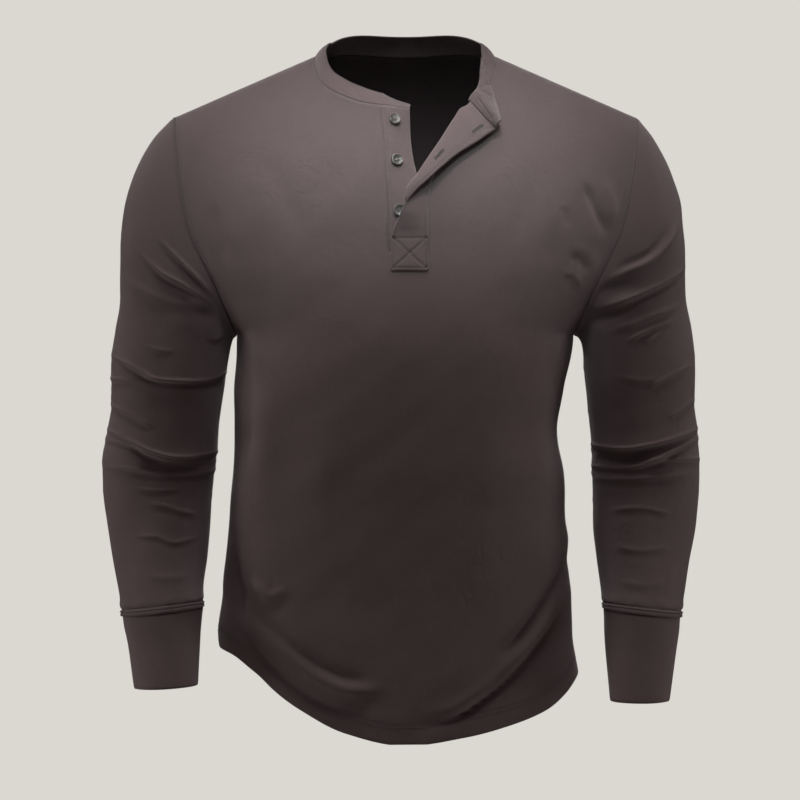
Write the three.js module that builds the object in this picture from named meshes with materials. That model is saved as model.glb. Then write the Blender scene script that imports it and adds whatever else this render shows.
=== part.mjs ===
// A long-sleeved henley shirt, filled out as it is when worn, with nobody in it.
// Millimetres. +Z is up, -Y is the front, +X is the wearer's left.
// The origin lies midway between the two neck ends of the shoulder seams, where the wearer's shoulders carry it.
// Every piece of cloth is a thin wall: a sheet of points on the outer face, and the same points moved in.
import * as THREE from "three";

// Driving dimensions
const WALL = 1.4; // jersey
const DOUBLE_WALL = 1.8; // neckband, cuffs and placket are two layers
const SEAM_GAP = 0.3;
const NECK_HALF_WIDTH = 93;
const NECK_SIDE_Z = 3.5; // neck end of the shoulder seam
const NECK_BACK_DEPTH = 57;
const NECK_BACK_CURVE = 2.3;
const SHOULDER_HALF_WIDTH = 242;
const SHOULDER_SLOPE = 0.435;
const SHOULDER_LEVEL_X = 125;
const SHOULDER_LEVEL_Z = -10.4;
const UNDERARM_Z = -286;
const ARCH_BASE_Z = -190; // above this the front and back arch over to the shoulder seam
const ROW_UNIT = 200; // millimetres below the arch that one unit of height stands for
const SLIT_FOOT_Z = -205;
const BUTTON_RADIUS = 6.3;
const BUTTON_THICK = 2.6;

const QUARTER = Math.PI / 2;
const clamp = (v, low, high) => Math.min(high, Math.max(low, v));
const lerp = (a, b, t) => a + (b - a) * t;
const smooth = (t) => {
  const s = clamp(t, 0, 1);
  return s * s * (3 - 2 * s);
};

// A smooth curve through a table's rows that never overshoots them: at names the column read, and of the one given.
function track(rows, at, of) {
  const n = rows.length;
  const x = rows.map((r) => r[at]);
  const y = rows.map((r) => r[of]);
  const slope = x.slice(1).map((v, i) => (y[i + 1] - y[i]) / (v - x[i]));
  const tangent = x.map((_, i) => {
    if (i === 0) return slope[0];
    if (i === n - 1) return slope[n - 2];
    if (slope[i - 1] * slope[i] <= 0) return 0;
    const before = x[i] - x[i - 1];
    const after = x[i + 1] - x[i];
    const total = before + after;
    return (3 * total) / ((total + after) / slope[i - 1] + (total + before) / slope[i]);
  });
  return (v) => {
    const p = clamp(v, Math.min(x[0], x[n - 1]), Math.max(x[0], x[n - 1]));
    let i = 0;
    while (i < n - 2 && (x[1] > x[0] ? p > x[i + 1] : p < x[i + 1])) i++;
    const h = x[i + 1] - x[i];
    const t = (p - x[i]) / h;
    return (
      y[i] * (1 + 2 * t) * (1 - t) ** 2 +
      tangent[i] * h * t * (1 - t) ** 2 +
      y[i + 1] * t * t * (3 - 2 * t) +
      tangent[i + 1] * h * t * t * (t - 1)
    );
  };
}

// Body sections from the hem up. half: half width. mid: how far its middle lies from the centre line.
const BODY = [
  { z: -720, half: 185, mid: -3, front: 114, back: 106, square: 2.4 },
  { z: -640, half: 184, mid: -4, front: 112, back: 101, square: 2.4 },
  { z: -593, half: 184, mid: -10.4, front: 110, back: 98, square: 2.4 },
  { z: -551, half: 180.4, mid: -7.8, front: 108, back: 92, square: 2.4 },
  { z: -468, half: 173.7, mid: -8.3, front: 108, back: 86, square: 2.4 },
  { z: -426, half: 172, mid: -6.8, front: 110, back: 87, square: 2.4 },
  { z: -385, half: 168.5, mid: -8.3, front: 112, back: 88, square: 2.4 },
  { z: -343, half: 171, mid: -5.7, front: 115, back: 93, square: 2.38 },
  { z: -286, half: 174.5, mid: 0, front: 118, back: 99, square: 2.3 },
  { z: -240, half: 0, mid: 0, front: 117, back: 102, square: 2.1 },
  { z: -190, half: 0, mid: 0, front: 114, back: 103, square: 2.05 },
  { z: -120, half: 0, mid: 0, front: 112, back: 102, square: 2.05 },
];
const BELOW_UNDERARM = BODY.filter((r) => r.half > 0);
const bodyHalf = track(BELOW_UNDERARM, "z", "half");
const bodyMid = track(BODY, "z", "mid");
const bodyFront = track(BODY, "z", "front");
const bodyBack = track(BODY, "z", "back");
const bodySquare = track(BODY, "z", "square");

// The armhole seam seen from the front, from the underarm up to the shoulder.
const ARMHOLE = [
  { z: UNDERARM_Z, x: 174.5 },
  { z: -266, x: 182 },
  { z: -242, x: 192 },
  { z: -212, x: 207 },
  { z: -180, x: 221 },
  { z: -135, x: 231 },
  { z: -98, x: 236.5 },
  { z: -61.3, x: SHOULDER_HALF_WIDTH },
];
const armholeX = track(ARMHOLE, "z", "x");
const ARMHOLE_DEPTH = 0.55; // share of the body's depth that the seam reaches forward and back
const ARMHOLE_ROUND_Z = -214; // below this the seam curves in to the underarm

// The top of the shoulder at x. Inside the neck it is only a guide for the arch below it.
function shoulderZ(x, face) {
  const off = Math.abs(x);
  const line = SHOULDER_LEVEL_Z - SHOULDER_SLOPE * (off - SHOULDER_LEVEL_X);
  if (off >= NECK_HALF_WIDTH) return line;
  const inside = face < 0 ? 11 * (1 - (off / NECK_HALF_WIDTH) ** 2) : 46 * (1 - (off / NECK_HALF_WIDTH) ** 3);
  return NECK_SIDE_Z + inside;
}

// A height is millimetres over ROW_UNIT below the arch, and a share of the arch's quarter turn above it.
const heightOfZ = (z, x, face) =>
  z <= ARCH_BASE_Z
    ? (z - ARCH_BASE_Z) / ROW_UNIT
    : Math.asin(clamp((z - ARCH_BASE_Z) / (shoulderZ(x, face) - ARCH_BASE_Z), 0, 1)) / QUARTER;
const zOfHeight = (h, x, face) =>
  h <= 0
    ? ARCH_BASE_Z + h * ROW_UNIT
    : ARCH_BASE_Z + (shoulderZ(x, face) - ARCH_BASE_Z) * Math.sin(h * QUARTER);

// How deep the armhole seam lies at a height, as a share of the body's own depth.
function armholeShare(h) {
  const round = (ARMHOLE_ROUND_Z - ARCH_BASE_Z) / ROW_UNIT;
  const low = (UNDERARM_Z - ARCH_BASE_Z) / ROW_UNIT;
  if (h >= round) return ARMHOLE_DEPTH;
  return ARMHOLE_DEPTH * Math.sqrt(Math.max(0, 1 - ((round - h) / (round - low)) ** 2));
}

// Half width of the section at a height: above the underarm it is what makes the section pass through the seam.
const armholeHeights = ARMHOLE.map((r) => ({ h: heightOfZ(r.z, r.x, -1), x: r.x }));
const armholeXAtHeight = track(armholeHeights, "h", "x");
function sectionHalf(h) {
  const z = ARCH_BASE_Z + Math.min(h, 0.35) * ROW_UNIT;
  if (z <= UNDERARM_Z) return bodyHalf(z);
  const square = bodySquare(z);
  return armholeXAtHeight(h) / (1 - armholeShare(h) ** square) ** (1 / square);
}

// A point of the body's outer face. face: -1 front, 1 back. side: -1 or 1. turn: 0 centre line, 1 side seam.
function bodyPoint(face, side, turn, h) {
  const z = ARCH_BASE_Z + Math.min(h, 0.35) * ROW_UNIT;
  const power = 2 / bodySquare(z);
  const angle = turn * QUARTER;
  const x = sectionHalf(h) * Math.sin(angle) ** power;
  const depth = (face < 0 ? bodyFront : bodyBack)(z) * Math.max(0, Math.cos(angle)) ** power;
  const arch = h > 0 ? Math.cos(Math.min(h, 1) * QUARTER) : 1;
  return new THREE.Vector3(bodyMid(z) + side * x, face * depth * arch, zOfHeight(h, x, face));
}
const turnOfX = (x, h) => {
  const z = ARCH_BASE_Z + Math.min(h, 0.35) * ROW_UNIT;
  return Math.asin(clamp(x / sectionHalf(h), 0, 1) ** (bodySquare(z) / 2)) / QUARTER;
};
const armholeTurn = (h) => turnOfX(armholeXAtHeight(h), h);

function bodyNormal(face, side, turn, h) {
  const step = 0.004;
  const t0 = clamp(turn - step, 0.002, 1);
  const t1 = clamp(turn + step, 0.002, 1);
  const h1 = Math.min(h + step, 1);
  const across = bodyPoint(face, side, t1, h).sub(bodyPoint(face, side, t0, h));
  const up = bodyPoint(face, side, turn, h1).sub(bodyPoint(face, side, turn, h1 - 2 * step));
  const normal = across.cross(up).multiplyScalar(-face * side);
  if (turn > 0.999 || h > 0.999) normal.y = 0;
  return normal.normalize();
}

const onBody = (face, x, z) => {
  const h = heightOfZ(z, x, face);
  const off = x - bodyMid(Math.min(z, -120));
  return bodyPoint(face, off < 0 ? -1 : 1, turnOfX(Math.abs(off), h), h);
};
function liftedFront(x, z, lift) {
  const at = onBody(-1, x, z);
  const off = x - bodyMid(Math.min(z, -120));
  const h = heightOfZ(z, x, -1);
  const side = off < 0 ? -1 : 1;
  const normal = bodyNormal(-1, side, Math.max(0.03, turnOfX(Math.abs(off), h)), h);
  return at.addScaledVector(normal, lift);
}

// Grid sizes
const ROWS_SIDE = 22; // hem to underarm, and hem to the foot of the slit
const ROWS_ARMHOLE = 16;
const ROWS_SLIT = 7;
const ROWS_NECK_FRONT = ROWS_ARMHOLE - ROWS_SLIT;
const ROWS_NECK_BACK = 8;
const ROWS = ROWS_SIDE + ROWS_ARMHOLE;
const COLUMNS = 12;
const RING = 2 * ROWS_ARMHOLE;

// Points of a curve at even steps along it. place turns what the curve gives into a point in space.
function evenly(curve, count, place) {
  const fine = 240;
  const at = Array.from({ length: fine + 1 }, (_, i) => curve(i / fine));
  const run = [0];
  for (let i = 1; i <= fine; i++) run.push(run[i - 1] + place(at[i]).distanceTo(place(at[i - 1])));
  return Array.from({ length: count + 1 }, (_, k) => {
    const want = (run[fine] * k) / count;
    let i = 0;
    while (i < fine - 1 && run[i + 1] < want) i++;
    return curve((i + (want - run[i]) / (run[i + 1] - run[i])) / fine);
  });
}

// The hem seen from the front, and the edges of the slit and of the front neckline.
const HEM = [
  { x: -196, z: -606 }, { x: -172, z: -614 }, { x: -152, z: -629 }, { x: -134, z: -646 }, { x: -105, z: -666 },
  { x: -60, z: -688 }, { x: 0, z: -700 }, { x: 60, z: -692 }, { x: 95, z: -684 }, { x: 142, z: -668 },
  { x: 165, z: -652 }, { x: 180, z: -636 },
];
const hemZ = track(HEM, "x", "z");
const SLIT_LEFT = [{ z: -205, x: -15.5 }, { z: -169, x: -17 }, { z: -133, x: -19 }, { z: -55, x: -25 }];
const SLIT_RIGHT = [
  { z: -205, x: 22 }, { z: -164, x: 22.5 }, { z: -143, x: 24.5 }, { z: -127, x: 28 }, { z: -108, x: 35 },
  { z: -93, x: 42 }, { z: -72, x: 54 }, { z: -52, x: 65 },
];
const NECKLINE_LEFT = [
  { s: 0, x: -25, z: -55 }, { s: 19, x: -43.5, z: -52 }, { s: 34, x: -58, z: -47 }, { s: 48, x: -70, z: -41 },
  { s: 60, x: -80, z: -35 }, { s: 72, x: -87, z: -26 }, { s: 83, x: -90.8, z: -16 }, { s: 93, x: -93.2, z: -6 },
  { s: 104, x: -93, z: NECK_SIDE_Z },
];
const NECKLINE_RIGHT = [
  { s: 0, x: 65, z: -52 }, { s: 18, x: 79, z: -40.5 }, { s: 34, x: 88, z: -27.5 }, { s: 46, x: 90.8, z: -16 },
  { s: 57, x: 93.2, z: -6 }, { s: 68, x: 93, z: NECK_SIDE_Z },
];

const frontUV = (x, z) => {
  const h = heightOfZ(z, x, -1);
  return { turn: turnOfX(Math.abs(x - bodyMid(Math.min(z, -120))), h), h };
};
function slitCurve(rows) {
  const x = track(rows, "z", "x");
  const top = rows[rows.length - 1].z;
  return (t) => frontUV(x(lerp(SLIT_FOOT_Z, top, t)), lerp(SLIT_FOOT_Z, top, t));
}
function necklineCurve(rows) {
  const x = track(rows, "s", "x");
  const z = track(rows, "s", "z");
  const end = rows[rows.length - 1].s;
  return (t) => (t > 0.9999 ? { turn: turnOfX(NECK_HALF_WIDTH, 1), h: 1 } : frontUV(x(t * end), z(t * end)));
}
const backNeckline = (t) => {
  const turn = t * turnOfX(NECK_HALF_WIDTH, 1);
  const x = sectionHalf(1) * Math.sin(turn * QUARTER) ** (2 / 2.05);
  const depth = 102 * Math.cos(turn * QUARTER) ** (2 / 2.05);
  const y = NECK_BACK_DEPTH * Math.max(0, 1 - (x / NECK_HALF_WIDTH) ** NECK_BACK_CURVE) ** (1 / NECK_BACK_CURVE);
  return { turn: turnOfX(x, Math.acos(y / depth) / QUARTER), h: Math.acos(y / depth) / QUARTER };
};
const armholeCurve = (t) => {
  const h = lerp((UNDERARM_Z - ARCH_BASE_Z) / ROW_UNIT, 1, t);
  return { turn: t === 0 ? 1 : armholeTurn(h), h };
};

// One half of a panel. Its columns run from the middle, slit and neckline out to the side seam and armhole.
function panelHalf(face, side) {
  const place = (p) => bodyPoint(face, side, p.turn, p.h);
  const hem = (turn) => {
    const x = bodyPoint(face, side, turn, -2.3).x;
    return { turn, h: (hemZ(x) - ARCH_BASE_Z) / ROW_UNIT };
  };
  const slit = slitCurve(side < 0 ? SLIT_LEFT : SLIT_RIGHT);
  const footTurn = face < 0 ? slit(0).turn : 0;
  const hemStart = hem(face < 0 ? turnOfX(Math.abs((side < 0 ? -15.5 : 22) + 3.2), -2.3) : 0);
  const hemEnd = hem(1);
  const run = (a, b) => (t) => ({ turn: lerp(a.turn, b.turn, t), h: lerp(a.h, b.h, t) });
  const join = (...parts) => parts.flatMap((p, i) => (i ? p.slice(1) : p));
  let start;
  if (face < 0) {
    start = join(
      evenly(run(hemStart, slit(0)), ROWS_SIDE, place),
      evenly(slit, ROWS_SLIT, place),
      evenly(necklineCurve(side < 0 ? NECKLINE_LEFT : NECKLINE_RIGHT), ROWS_NECK_FRONT, place),
    );
  } else {
    start = join(
      evenly(run(hemStart, { turn: footTurn, h: backNeckline(0).h }), ROWS - ROWS_NECK_BACK, place),
      evenly(backNeckline, ROWS_NECK_BACK, place),
    );
  }
  const underarm = { turn: 1, h: (UNDERARM_Z - ARCH_BASE_Z) / ROW_UNIT };
  const end = join(evenly(run(hemEnd, underarm), ROWS_SIDE, place), evenly(armholeCurve, ROWS_ARMHOLE, place));
  const grid = [];
  for (let j = 0; j <= ROWS; j++) {
    const v = j / ROWS;
    const row = [];
    for (let i = 0; i <= COLUMNS; i++) {
      const u = i / COLUMNS;
      const low = hem(lerp(hemStart.turn, 1, u));
      const mix = (key, w) => {
        const top = lerp(start[ROWS][key], end[ROWS][key], w);
        const across = lerp(start[j][key], end[j][key], w);
        const flat = lerp(lerp(start[0][key], end[0][key], w), top, v);
        return lerp(low[key], top, v) + across - flat;
      };
      // rows reach their end's height early and come level to the armhole, from inside the panel
      const early = 1 - (1 - u) ** 2.5;
      const p = i === COLUMNS ? end[j] : i === 0 ? start[j] : { turn: mix("turn", u), h: mix("h", early) };
      row.push(place({ turn: clamp(p.turn, 0, 1), h: Math.min(p.h, 1) }));
    }
    grid.push(row);
  }
  return grid;
}

// A sheet: points of the outer face and the four-sided patches between them, all facing out.
class Sheet {
  constructor() {
    this.points = [];
    this.faces = [];
    this.keys = new Map();
  }
  point(p) {
    const key = [p.x, p.y, p.z].map((v) => Math.round(v * 200)).join(",");
    if (!this.keys.has(key)) {
      this.keys.set(key, this.points.length);
      this.points.push(p.clone());
    }
    return this.keys.get(key);
  }
  // grid[j][i], with up x across facing out, or flipped
  add(grid, flip) {
    for (let j = 0; j + 1 < grid.length; j++) {
      for (let i = 0; i + 1 < grid[j].length; i++) {
        const q = [grid[j][i], grid[j][i + 1], grid[j + 1][i + 1], grid[j + 1][i]].map((p) => this.point(p));
        if (flip) q.reverse();
        if (new Set(q).size > 2) this.faces.push(q.filter((v, k) => q.indexOf(v) === k));
      }
    }
    return this;
  }
  normals() {
    const sum = this.points.map(() => new THREE.Vector3());
    for (const f of this.faces) {
      for (let k = 0; k < f.length; k++) {
        const a = this.points[f[k]];
        const b = this.points[f[(k + 1) % f.length]];
        const c = this.points[f[(k + f.length - 1) % f.length]];
        const ab = b.clone().sub(a);
        const ac = c.clone().sub(a);
        const n = ab.clone().cross(ac);
        if (n.length() > 1e-9) sum[f[k]].add(n.normalize().multiplyScalar(ab.angleTo(ac)));
      }
    }
    return sum.map((n, i) => {
      if (Math.abs(this.points[i].y) < 0.2) n.y = 0; // side and shoulder seams meet in this plane
      return n.normalize();
    });
  }
  nearest(p) {
    let best = 0;
    this.points.forEach((q, i) => {
      if (q.distanceToSquared(p) < this.points[best].distanceToSquared(p)) best = i;
    });
    return best;
  }
}

// Closes a sheet into a wall. inward gives another way in at the points it knows.
function wall(sheet, thickness, inward) {
  const normals = sheet.normals();
  const count = sheet.points.length;
  const position = [];
  for (const p of sheet.points) position.push(p.x, p.y, p.z);
  sheet.points.forEach((p, i) => {
    const n = inward?.(i, normals[i]) ?? normals[i];
    position.push(p.x - n.x * thickness, p.y - n.y * thickness, p.z - n.z * thickness);
  });
  const index = [];
  const edges = new Map();
  for (const f of sheet.faces) {
    for (let k = 1; k + 1 < f.length; k++) {
      index.push(f[0], f[k], f[k + 1]);
      index.push(count + f[0], count + f[k + 1], count + f[k]);
    }
    f.forEach((a, k) => edges.set(`${a},${f[(k + 1) % f.length]}`, [a, f[(k + 1) % f.length]]));
  }
  for (const [a, b] of edges.values()) {
    if (edges.has(`${b},${a}`)) continue;
    index.push(b, a, count + a, b, count + a, count + b);
  }
  const geometry = new THREE.BufferGeometry();
  geometry.setAttribute("position", new THREE.Float32BufferAttribute(position, 3));
  geometry.setIndex(index);
  return geometry;
}

// Folds, seen from the front. face: -1 front, 1 back. A trough where depth is positive, a ridge where it is not.
// lip: how high the cloth stands beside the trough, as a share of its depth.
const TORSO_FOLDS = [
  { face: -1, line: [[-181, -500], [-176, -560], [-150, -612]], width: 12, depth: 4, lip: 0.5 },
  { face: -1, line: [[-171, -550], [-105, -612], [-45, -652], [10, -650]], width: 14, depth: 4.5, lip: -0.4 },
  { face: -1, line: [[166, -540], [136, -592], [95, -638], [35, -668]], width: 14, depth: 4.5, lip: 0.4 },
  { face: -1, line: [[182, -552], [150, -600], [120, -632]], width: 11, depth: 3.5, lip: 0.5 },
  { face: -1, line: [[-168, -285], [-160, -360], [-164, -440]], width: 13, depth: 3.5, lip: 0.3 },
  { face: -1, line: [[150, -300], [158, -380], [160, -450]], width: 15, depth: 2.5, lip: 0.3 },
  { face: 1, line: [[-150, -330], [-60, -400], [60, -405], [150, -340]], width: 16, depth: 4.5, lip: 0.4 },
  { face: 1, line: [[-165, -400], [-70, -455], [50, -450], [160, -395]], width: 15, depth: 4, lip: 0.4 },
  { face: 1, line: [[-120, -560], [-60, -600], [10, -640]], width: 15, depth: 3.5, lip: 0.4 },
  { face: 1, line: [[150, -540], [100, -600], [40, -650]], width: 14, depth: 4, lip: 0.4 },
];
const SLEEVE_R_FOLDS = [
  { face: -1, line: [[-262, -168], [-222, -212], [-186, -250]], width: 9, depth: 4, lip: 0.5 },
  { face: -1, line: [[-280, -205], [-240, -232], [-190, -262]], width: 10, depth: 4, lip: 0.4 },
  { face: -1, line: [[-316, -296], [-262, -327], [-219, -336], [-180, -318]], width: 11, depth: -4.5, lip: 0 },
  { face: -1, line: [[-325, -352], [-262, -376], [-228, -384]], width: 9, depth: 3.5, lip: 0.4 },
  { face: -1, line: [[-330, -372], [-252, -400], [-180, -412]], width: 8.5, depth: 6.5, lip: 0.5 },
  { face: -1, line: [[-330, -420], [-258, -428], [-180, -428]], width: 8.5, depth: 5, lip: 0.4 },
  { face: 1, line: [[-330, -300], [-262, -320], [-180, -318]], width: 12, depth: 4, lip: 0.4 },
  { face: 1, line: [[-330, -445], [-258, -462], [-180, -455]], width: 12, depth: 4, lip: 0.4 },
];
const SLEEVE_L_FOLDS = [
  { face: -1, line: [[188, -252], [250, -226], [286, -190]], width: 9, depth: 4.5, lip: 0.5 },
  { face: -1, line: [[205, -286], [245, -268], [290, -240]], width: 9, depth: 3.5, lip: 0.4 },
  { face: -1, line: [[320, -300], [282, -318], [240, -338]], width: 10, depth: 3.5, lip: 0.4 },
  { face: -1, line: [[320, -376], [240, -402], [172, -408]], width: 8.5, depth: 6.5, lip: 0.5 },
  { face: -1, line: [[320, -400], [250, -418], [172, -424]], width: 8, depth: 4.5, lip: 0.4 },
  { face: -1, line: [[320, -428], [240, -446], [205, -450]], width: 9, depth: 3.5, lip: 0.4 },
  { face: 1, line: [[320, -310], [250, -326], [172, -322]], width: 12, depth: 4, lip: 0.4 },
  { face: 1, line: [[320, -440], [250, -458], [172, -452]], width: 12, depth: 4, lip: 0.4 },
];

function foldOffset(folds, p, n) {
  let sum = 0;
  for (const fold of folds) {
    const seen = smooth((fold.face * n.y + 0.35) / 0.5);
    if (seen === 0) continue;
    let best = Infinity;
    let along = 0;
    let side = 1;
    for (let i = 0; i + 1 < fold.line.length; i++) {
      const [ax, az] = fold.line[i];
      const dx = fold.line[i + 1][0] - ax;
      const dz = fold.line[i + 1][1] - az;
      const t = clamp(((p.x - ax) * dx + (p.z - az) * dz) / (dx * dx + dz * dz), 0, 1);
      const off = Math.hypot(p.x - ax - t * dx, p.z - az - t * dz);
      if (off < best) {
        best = off;
        along = (i + t) / (fold.line.length - 1);
        side = Math.sign(dx * (p.z - az) - dz * (p.x - ax)) || 1;
      }
    }
    const taper = smooth(Math.min(along, 1 - along) / 0.25);
    const away = (best * side) / fold.width;
    sum += seen * taper * fold.depth * (fold.lip * Math.exp(-((away - 1.7) ** 2)) - Math.exp(-(away ** 2)));
  }
  return sum;
}
function crease(sheet, folds, fade) {
  const normals = sheet.normals();
  sheet.points.forEach((p, i) => p.addScaledVector(normals[i], fade(p) * foldOffset(folds, p, normals[i])));
}
const torsoFade = (p) => {
  const atArmhole = p.z > UNDERARM_Z ? smooth((armholeX(Math.min(p.z, -61.3)) - Math.abs(p.x)) / 25) : 1;
  return atArmhole * smooth((UNDERARM_Z + 120 - p.z) / 60);
};

// Panels
const frontHalves = [-1, 1].map((side) => panelHalf(-1, side));
const frontSheet = new Sheet();
frontSheet.add(frontHalves[0], true).add(frontHalves[1], false);
const middle = Array.from({ length: ROWS_SIDE + 1 }, (_, j) => {
  const a = frontHalves[0][j][0];
  const b = frontHalves[1][j][0];
  const half = onBody(-1, lerp(a.x, b.x, 0.5), lerp(a.z, b.z, 0.5));
  return [a, half, b];
});
frontSheet.add(middle, false);
const backHalves = [-1, 1].map((side) => panelHalf(1, side));
const backSheet = new Sheet();
backSheet.add(backHalves[0], false).add(backHalves[1], true);
crease(frontSheet, TORSO_FOLDS, torsoFade);
crease(backSheet, TORSO_FOLDS, torsoFade);

// The panels' own points, after folding, where other pieces are sewn on.
const edgeOf = (sheet, halves, side, pick) => pick(halves[side < 0 ? 0 : 1]).map((p) => sheet.point(p));
const frontEdge = (side, pick) => edgeOf(frontSheet, frontHalves, side, pick);
const backEdge = (side, pick) => edgeOf(backSheet, backHalves, side, pick);
const outerColumn = (grid) => grid.slice(ROWS_SIDE).map((row) => row[COLUMNS]);
const frontNeck = (grid) => grid.slice(ROWS_SIDE + ROWS_SLIT).map((row) => row[0]);
const frontSlit = (grid) => grid.slice(ROWS_SIDE, ROWS_SIDE + ROWS_SLIT + 1).map((row) => row[0]);
const backNeck = (grid) => grid.slice(ROWS - ROWS_NECK_BACK).map((row) => row[0]);
const seam = {};
for (const side of [-1, 1]) {
  seam[side] = {
    armFront: frontEdge(side, outerColumn),
    armBack: backEdge(side, outerColumn),
    neckFront: frontEdge(side, frontNeck),
    neckBack: backEdge(side, backNeck),
    slit: frontEdge(side, frontSlit),
  };
}
// Front and back stop half a gap short of the side and shoulder seams.
for (const [sheet, face] of [[frontSheet, -1], [backSheet, 1]]) {
  for (const p of sheet.points) if (Math.abs(p.y) < SEAM_GAP / 2) p.y = (face * SEAM_GAP) / 2;
}
const frontNormals = frontSheet.normals();
const backNormals = backSheet.normals();

// Sleeves. Each row is a ring of the arm: o outer and i inner end seen from the front, mid: how far its middle
// lies behind the side seams, deep: half its depth.
const SLEEVE_R = [
  { s: 0, ox: -242, oz: -61.3, ix: -174.8, iz: -285.8, mid: 0, deep: 60 },
  { s: 1, ox: -262, oz: -82, ix: -178.5, iz: -290, mid: 0, deep: 61 },
  { s: 2, ox: -279, oz: -113, ix: -180.5, iz: -296, mid: 0, deep: 62 },
  { s: 3, ox: -292, oz: -156, ix: -182.5, iz: -306, mid: 1, deep: 64 },
  { s: 4, ox: -297.7, oz: -199, ix: -185.5, iz: -322, mid: 3, deep: 65 },
  { s: 5, ox: -297.8, oz: -243, ix: -188.6, iz: -343, mid: 4, deep: 65 },
  { s: 6, ox: -301.5, oz: -281, ix: -191.7, iz: -364, mid: 5, deep: 64 },
  { s: 7, ox: -306, oz: -318, ix: -194.4, iz: -383, mid: 6, deep: 62 },
  { s: 8, ox: -305.5, oz: -354, ix: -195.8, iz: -402, mid: 6, deep: 61 },
  { s: 9, ox: -309.4, oz: -385, ix: -197, iz: -418, mid: 5, deep: 60 },
  { s: 10, ox: -314.8, oz: -418, ix: -199, iz: -436, mid: 3, deep: 59 },
  { s: 11, ox: -314, oz: -445, ix: -200.7, iz: -454, mid: 0, deep: 57 },
  { s: 12, ox: -309, oz: -479, ix: -201.8, iz: -482, mid: -8, deep: 54 },
  { s: 13, ox: -301, oz: -516, ix: -204.4, iz: -514, mid: -22, deep: 50 },
  { s: 14, ox: -293.5, oz: -549, ix: -206.8, iz: -543, mid: -41, deep: 45 },
  { s: 15, ox: -288, oz: -574, ix: -206, iz: -564.5, mid: -57, deep: 40 },
];
const SLEEVE_L = [
  { s: 0, ox: 242, oz: -61.3, ix: 174.8, iz: -285.8, mid: 0, deep: 60 },
  { s: 1, ox: 259, oz: -82, ix: 179.5, iz: -288, mid: 0, deep: 61 },
  { s: 2, ox: 274.5, oz: -113, ix: 183.5, iz: -294, mid: 0, deep: 62 },
  { s: 3, ox: 288.3, oz: -156, ix: 185.5, iz: -306, mid: 1, deep: 64 },
  { s: 4, ox: 292.6, oz: -199, ix: 186.5, iz: -322, mid: 3, deep: 65 },
  { s: 5, ox: 292.2, oz: -243, ix: 188.6, iz: -343, mid: 4, deep: 65 },
  { s: 6, ox: 297.9, oz: -281, ix: 190.7, iz: -364, mid: 5, deep: 64 },
  { s: 7, ox: 302, oz: -318, ix: 192.7, iz: -384, mid: 6, deep: 62 },
  { s: 8, ox: 301.4, oz: -354, ix: 194.5, iz: -403, mid: 6, deep: 61 },
  { s: 9, ox: 304.2, oz: -385, ix: 194.8, iz: -418, mid: 5, deep: 60 },
  { s: 10, ox: 306, oz: -418, ix: 195, iz: -436, mid: 3, deep: 59 },
  { s: 11, ox: 305.4, oz: -447, ix: 195.2, iz: -454, mid: 0, deep: 57 },
  { s: 12, ox: 302, oz: -479, ix: 195, iz: -482, mid: -8, deep: 54 },
  { s: 13, ox: 294, oz: -516, ix: 197.4, iz: -514, mid: -22, deep: 50 },
  { s: 14, ox: 286.5, oz: -549, ix: 200.6, iz: -546, mid: -41, deep: 45 },
  { s: 15, ox: 280.5, oz: -575, ix: 202.4, iz: -566, mid: -57, deep: 40 },
];
const CUFF_R = [
  { s: 0, ox: -288, oz: -574.4, ix: -206, iz: -564.9, mid: -57, deep: 40 },
  { s: 1, ox: -282, oz: -600, ix: -209, iz: -595, mid: -66, deep: 36.5 },
  { s: 2, ox: -274, oz: -644.5, ix: -208.5, iz: -640.8, mid: -85, deep: 32.5 },
];
const CUFF_L = [
  { s: 0, ox: 280.5, oz: -575.4, ix: 202.4, iz: -566.4, mid: -57, deep: 40 },
  { s: 1, ox: 275.5, oz: -607, ix: 204, iz: -604, mid: -68, deep: 36.5 },
  { s: 2, ox: 267, oz: -656.6, ix: 206, iz: -656.6, mid: -88, deep: 32 },
];
const RING_SQUARE = 2.15;
// Rings stand closer together over the elbow's folds.
const SLEEVE_RINGS = [
  0, 0.5, 1.2, 2, 3, 4, 5, 5.8, 6.6, 7.3, 7.9, 8.4, 8.8, 9.2, 9.6, 10, 10.4, 10.9, 11.6, 12.6, 13.6, 14.4, 14.8, 15,
];
const CUFF_RINGS = [0, 0.6, 1.3, 2];

function tubePoint(rows, s, turn) {
  const read = (key) => track(rows, "s", key)(s);
  const power = 2 / RING_SQUARE;
  const c = Math.sign(Math.cos(turn)) * Math.abs(Math.cos(turn)) ** power;
  const d = Math.sign(Math.sin(turn)) * Math.abs(Math.sin(turn)) ** power;
  const [ox, oz, ix, iz] = ["ox", "oz", "ix", "iz"].map(read);
  return new THREE.Vector3(
    (ox + ix) / 2 + (c * (ox - ix)) / 2,
    read("mid") - d * read("deep"),
    (oz + iz) / 2 + (c * (oz - iz)) / 2,
  );
}
const ringTurn = (k) => (2 * Math.PI * k) / RING;

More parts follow.
